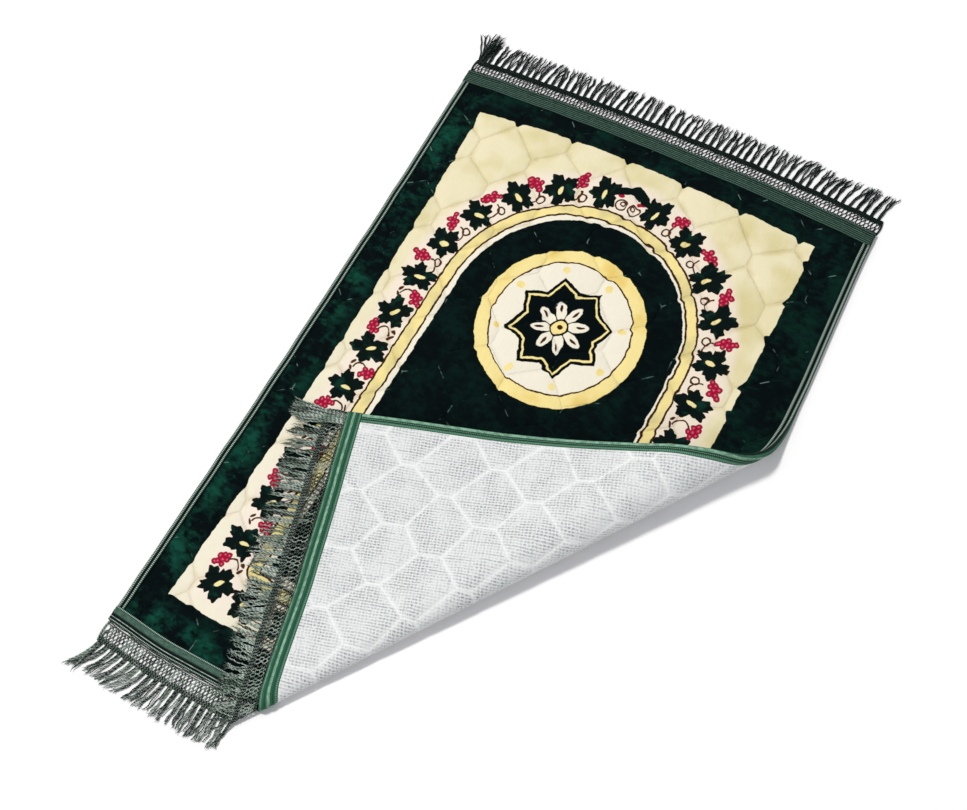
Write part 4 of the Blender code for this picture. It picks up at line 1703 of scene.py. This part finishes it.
def spin_net(work, trim):
    """The open net: yarns that lean out from the cord and join their neighbours to one side and the other."""
    numbers = np.arange(NET_COUNT)
    start, end = trim.cord - NET_TUCK, trim.net_end + NET_TUCK
    share = np.linspace(0, 1, NET_STEPS * trim.rows)
    beat = np.cos(share * trim.rows * math.pi)
    swing = NET_MIDDLE + NET_SWING * np.sign(beat) * soft_step(NET_HOLD * np.abs(beat))
    for way in (-1, 1):
        jitter = random_from(trim.seed + way, NET_COUNT) * NET_JITTER
        middle = (numbers - (NET_COUNT - 1) / 2) * NET_PITCH + jitter
        x = middle[:, None] + way * swing[None] * NET_PITCH + trim.side * (share - 0.5) * NET_SLANT
        x = np.clip(x, -HALF_WIDTH + NET_INSET, HALF_WIDTH - NET_INSET)
        out = start + (end - start) * share + np.zeros(x.shape)
        loose = np.sin(share * math.pi)
        x = x + cloth_noise(x, out + way, NET_WAVE_SIZE, trim.seed + 12) * NET_WAVE * loose
        out = out + cloth_noise(x, out - way, NET_SLACK_SIZE, trim.seed + 14) * NET_SLACK * loose
        lines = np.stack([x, out, np.full(x.shape, NET_HEIGHT + NET_CROSSING * way)], axis=-1)
        yarn = Yarn(trim.net_ply, trim.net_ply * NET_ORBIT, NET_TWIST)
        pale = trim.pale + way * NET_TONES + trim.net_light * ramp(middle, *NET_LIGHT_SPAN)
        work.spin(lines, yarn, trim.seed + 5 + way, trim_lay(trim), pale)


def loose_lines(trim, x, out, length, lean, rise, steps, seed):
    """Lines of loose yarns from their roots at (x, out) to their tips, lying on what is below them."""
    count = len(x)
    drawn_x, drawn_y = drawn(x, trim.side * (HALF_LENGTH + CLEARANCE + out))
    level = level_at(drawn_x, drawn_y)
    over = upside_down(level)
    roots = folded(drawn_x, drawn_y, level * (TAPE_LOW + LOOSE_HEIGHT))
    course = trim.side * (ALONG[1] * ALONG + (OUTWARD[1] * level)[:, None] * OUTWARD)
    course /= np.linalg.norm(course, axis=1)[:, None]
    sideways = np.column_stack([course[:, 1], -course[:, 0]]) * (trim.side * np.sign(level + 1e-9))[:, None]
    share = np.linspace(0, 1, steps)
    along = share[None] * length[:, None]
    phase = random_from(seed, count)[:, None] * 3
    wave = np.sin(share[None] * SLOW_WAVES + phase) - np.sin(phase)
    wave = wave + QUICK_SHARE * np.sin(share[None] * QUICK_WAVES + phase * 2)
    lean = lean + over * FLAP_SPREAD * random_from(seed + 60, count)
    off = lean[:, None] * share[None] ** LEAN_POWER + WAVE_HEIGHT * wave * share
    spots = roots[:, None, :2] + course[:, None] * along[..., None] + sideways[:, None] * off[..., None]
    rest = LOOSE_HEIGHT + RUG_LIFT * over + rise
    height = roots[:, None, 2] + (rest - roots[:, 2])[:, None] * soft_step(share * SETTLING)
    return np.concatenate([spots, height[..., None]], axis=-1)


def strand_lines(trim):
    """The lines of the strands, which leave the braid in bundles and spread towards their tips."""
    bundle, seed = trim.bundle, trim.seed
    count = BUNDLES * bundle.count
    group = np.arange(BUNDLES).repeat(bundle.count)
    place = np.arange(count) % bundle.count - (bundle.count - 1) / 2
    loose = random_from(seed + 1, count)
    x = (group - (BUNDLES - 1) / 2) * BUNDLE_PITCH + place * bundle.spacing
    out = np.full(count, trim.braid_end - ROOT_TUCK)
    bundle_lean = random_from(seed + 20, BUNDLES)[group] * BUNDLE_LEAN
    lean = trim.lean(x) + cloth_noise(x, x * 0, LEAN_DRIFT_SIZE, seed) * LEAN_DRIFT + bundle_lean
    lean = lean + place * (bundle.spread - bundle.spacing) + loose * STRAND_LEAN
    length = trim.strand * (1 + STRAND_UNEVENNESS * random_from(seed + 2, count))
    length = length + cloth_noise(x, x * 0, LENGTH_DRIFT_SIZE, seed + 3) * LENGTH_DRIFT
    rise = STRAND_RISE * (1 + random_from(seed + 6, count))
    return loose_lines(trim, x, out, length * trim.shorter(x), lean, rise, STRAND_STEPS, seed + 4)


def bunch_lines(trim, bunch, seed):
    """The lines of a bunch of loose yarns at one end of the trim."""
    count = bunch.count
    x = bunch.end * (HALF_WIDTH - BUNCH_INSET - bunch.width * (1 + random_from(seed, count)) / 2)
    out = bunch.start + BUNCH_ROOTS * (1 + random_from(seed + 1, count))
    length = bunch.length * (1 + BUNCH_UNEVENNESS * random_from(seed + 2, count)) * trim.shorter(x)
    lean = bunch.lean + bunch.spread * random_from(seed + 3, count)
    rise = bunch.height * (1 + random_from(seed + 4, count)) / 2
    return loose_lines(trim, x, out, length, lean, rise, BUNCH_STEPS, seed + 5)


def build_fringe(node, trim, yarn):
    """One end's trim in three pieces: the net with its ropes, the strands, and the bunches at its ends."""
    net = YarnWork()
    spin_ropes(net, trim)
    spin_net(net, trim)
    strands = YarnWork()
    lines = strand_lines(trim)
    pale = trim.pale + np.where(lines[:, -1, 2] > LIFTED_TRIM, LIFTED_PALE, LYING_PALE)
    strands.spin(lines, trim.bundle.yarn, trim.seed + 7, straight_lay, pale, frayed(STRAND_STEPS))
    strands.fray(lines, trim.seed + 8)
    bunches = YarnWork()
    for number, bunch in enumerate(trim.bunches):
        lines = bunch_lines(trim, bunch, trim.seed + 30 + 10 * number)
        pale = RIGHT_BUNCH_PALE if bunch.end > 0 else 0.0
        bunches.spin(lines, BUNCH_YARN, trim.seed + 9 + number, straight_lay, pale, frayed(BUNCH_STEPS))
        bunches.fray(lines, trim.seed + 40 + number)
    for name, work in (("net", net), ("strands", strands), ("bunches", bunches)):
        place_piece(work.finish(node + "_" + name, yarn), node)


# ---------------------------------------------------------------- the floor, lights and camera
CAMERA_PLACE = Vector((0.49930, -0.40197, 1.62331))
CAMERA_RIGHT = Vector((0.85202, 0.50126, -0.15100))
CAMERA_DOWN = Vector((0.42674, -0.83209, -0.35429))
CAMERA_FORWARD = Vector((-0.30324, 0.23742, -0.92286))
FOCAL_PIXELS = 1200
PHOTO_WIDTH = 967
SENSOR_WIDTH = 36.0
NEAREST_VIEW = 0.01
KEY_PLACE = (-2.6, -0.2, 6.9)
KEY_SIZE = 1.0
KEY_POWER = 360
KEY_COLOUR = (1.0, 0.99, 0.955)
ROOM_COLOUR = (0.955, 0.95, 1.0, 1.0)
ROOM_STRENGTH = 0.53
FLOOR_DYE = dye(250, 250, 250)
FLOOR_SIZE = 12


def place_camera():
    """The camera at the photograph's place, direction and field of view."""
    camera = bpy.data.objects.new("camera", bpy.data.cameras.new("camera"))
    bpy.context.scene.collection.objects.link(camera)
    camera.data.sensor_width = SENSOR_WIDTH
    camera.data.sensor_fit = "HORIZONTAL"
    camera.data.lens = SENSOR_WIDTH * FOCAL_PIXELS / PHOTO_WIDTH
    camera.data.clip_start = NEAREST_VIEW
    turn = Matrix((CAMERA_RIGHT, -CAMERA_DOWN, -CAMERA_FORWARD)).transposed()
    camera.matrix_world = Matrix.Translation(CAMERA_PLACE) @ turn.to_4x4()
    bpy.context.scene.camera = camera


def light_the_set():
    """One square key lamp from the far left and a bright plain room, shown with the plain view."""
    world = bpy.data.worlds.new("room")
    bpy.context.scene.world = world
    world.use_nodes = True
    feed_all(world.node_tree.nodes["Background"], {"Color": ROOM_COLOUR, "Strength": ROOM_STRENGTH})
    lamp = bpy.data.lights.new("key", "AREA")
    lamp.size = KEY_SIZE
    lamp.energy = KEY_POWER
    lamp.color = KEY_COLOUR
    holder = bpy.data.objects.new("key", lamp)
    bpy.context.scene.collection.objects.link(holder)
    holder.location = KEY_PLACE
    holder.rotation_euler = (-Vector(KEY_PLACE)).to_track_quat("-Z", "Y").to_euler()
    bpy.context.scene.view_settings.view_transform = "Standard"


def lay_floor():
    """A plain pale floor."""
    material, _, shader = material_with_shader("pale_floor")
    feed_all(shader, {"Base Color": FLOOR_DYE, "Roughness": 0.9})
    bpy.ops.object.select_all(action="DESELECT")
    bpy.ops.mesh.primitive_plane_add(size=FLOOR_SIZE, location=(0, 0, 0))
    floor = bpy.context.object
    floor.name = "floor"
    floor.data.materials.append(material)
    floor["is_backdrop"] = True


# ---------------------------------------------------------------- the whole rug
def main():
    """Build the pad, its tapes and its trims, and set the scene about them."""
    pad = build_pad(plush_material(), backing_material())
    build_tapes()
    yarn = yarn_material()
    for node, trim in TRIMS.items():
        build_fringe(node, trim, yarn)
    lay_floor()
    light_the_set()
    place_camera()


main()
boxes = {"solids": solids_box, "looks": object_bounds()}
{name: [[round(value, 5) for value in corner] for corner in box] for name, box in boxes.items()}
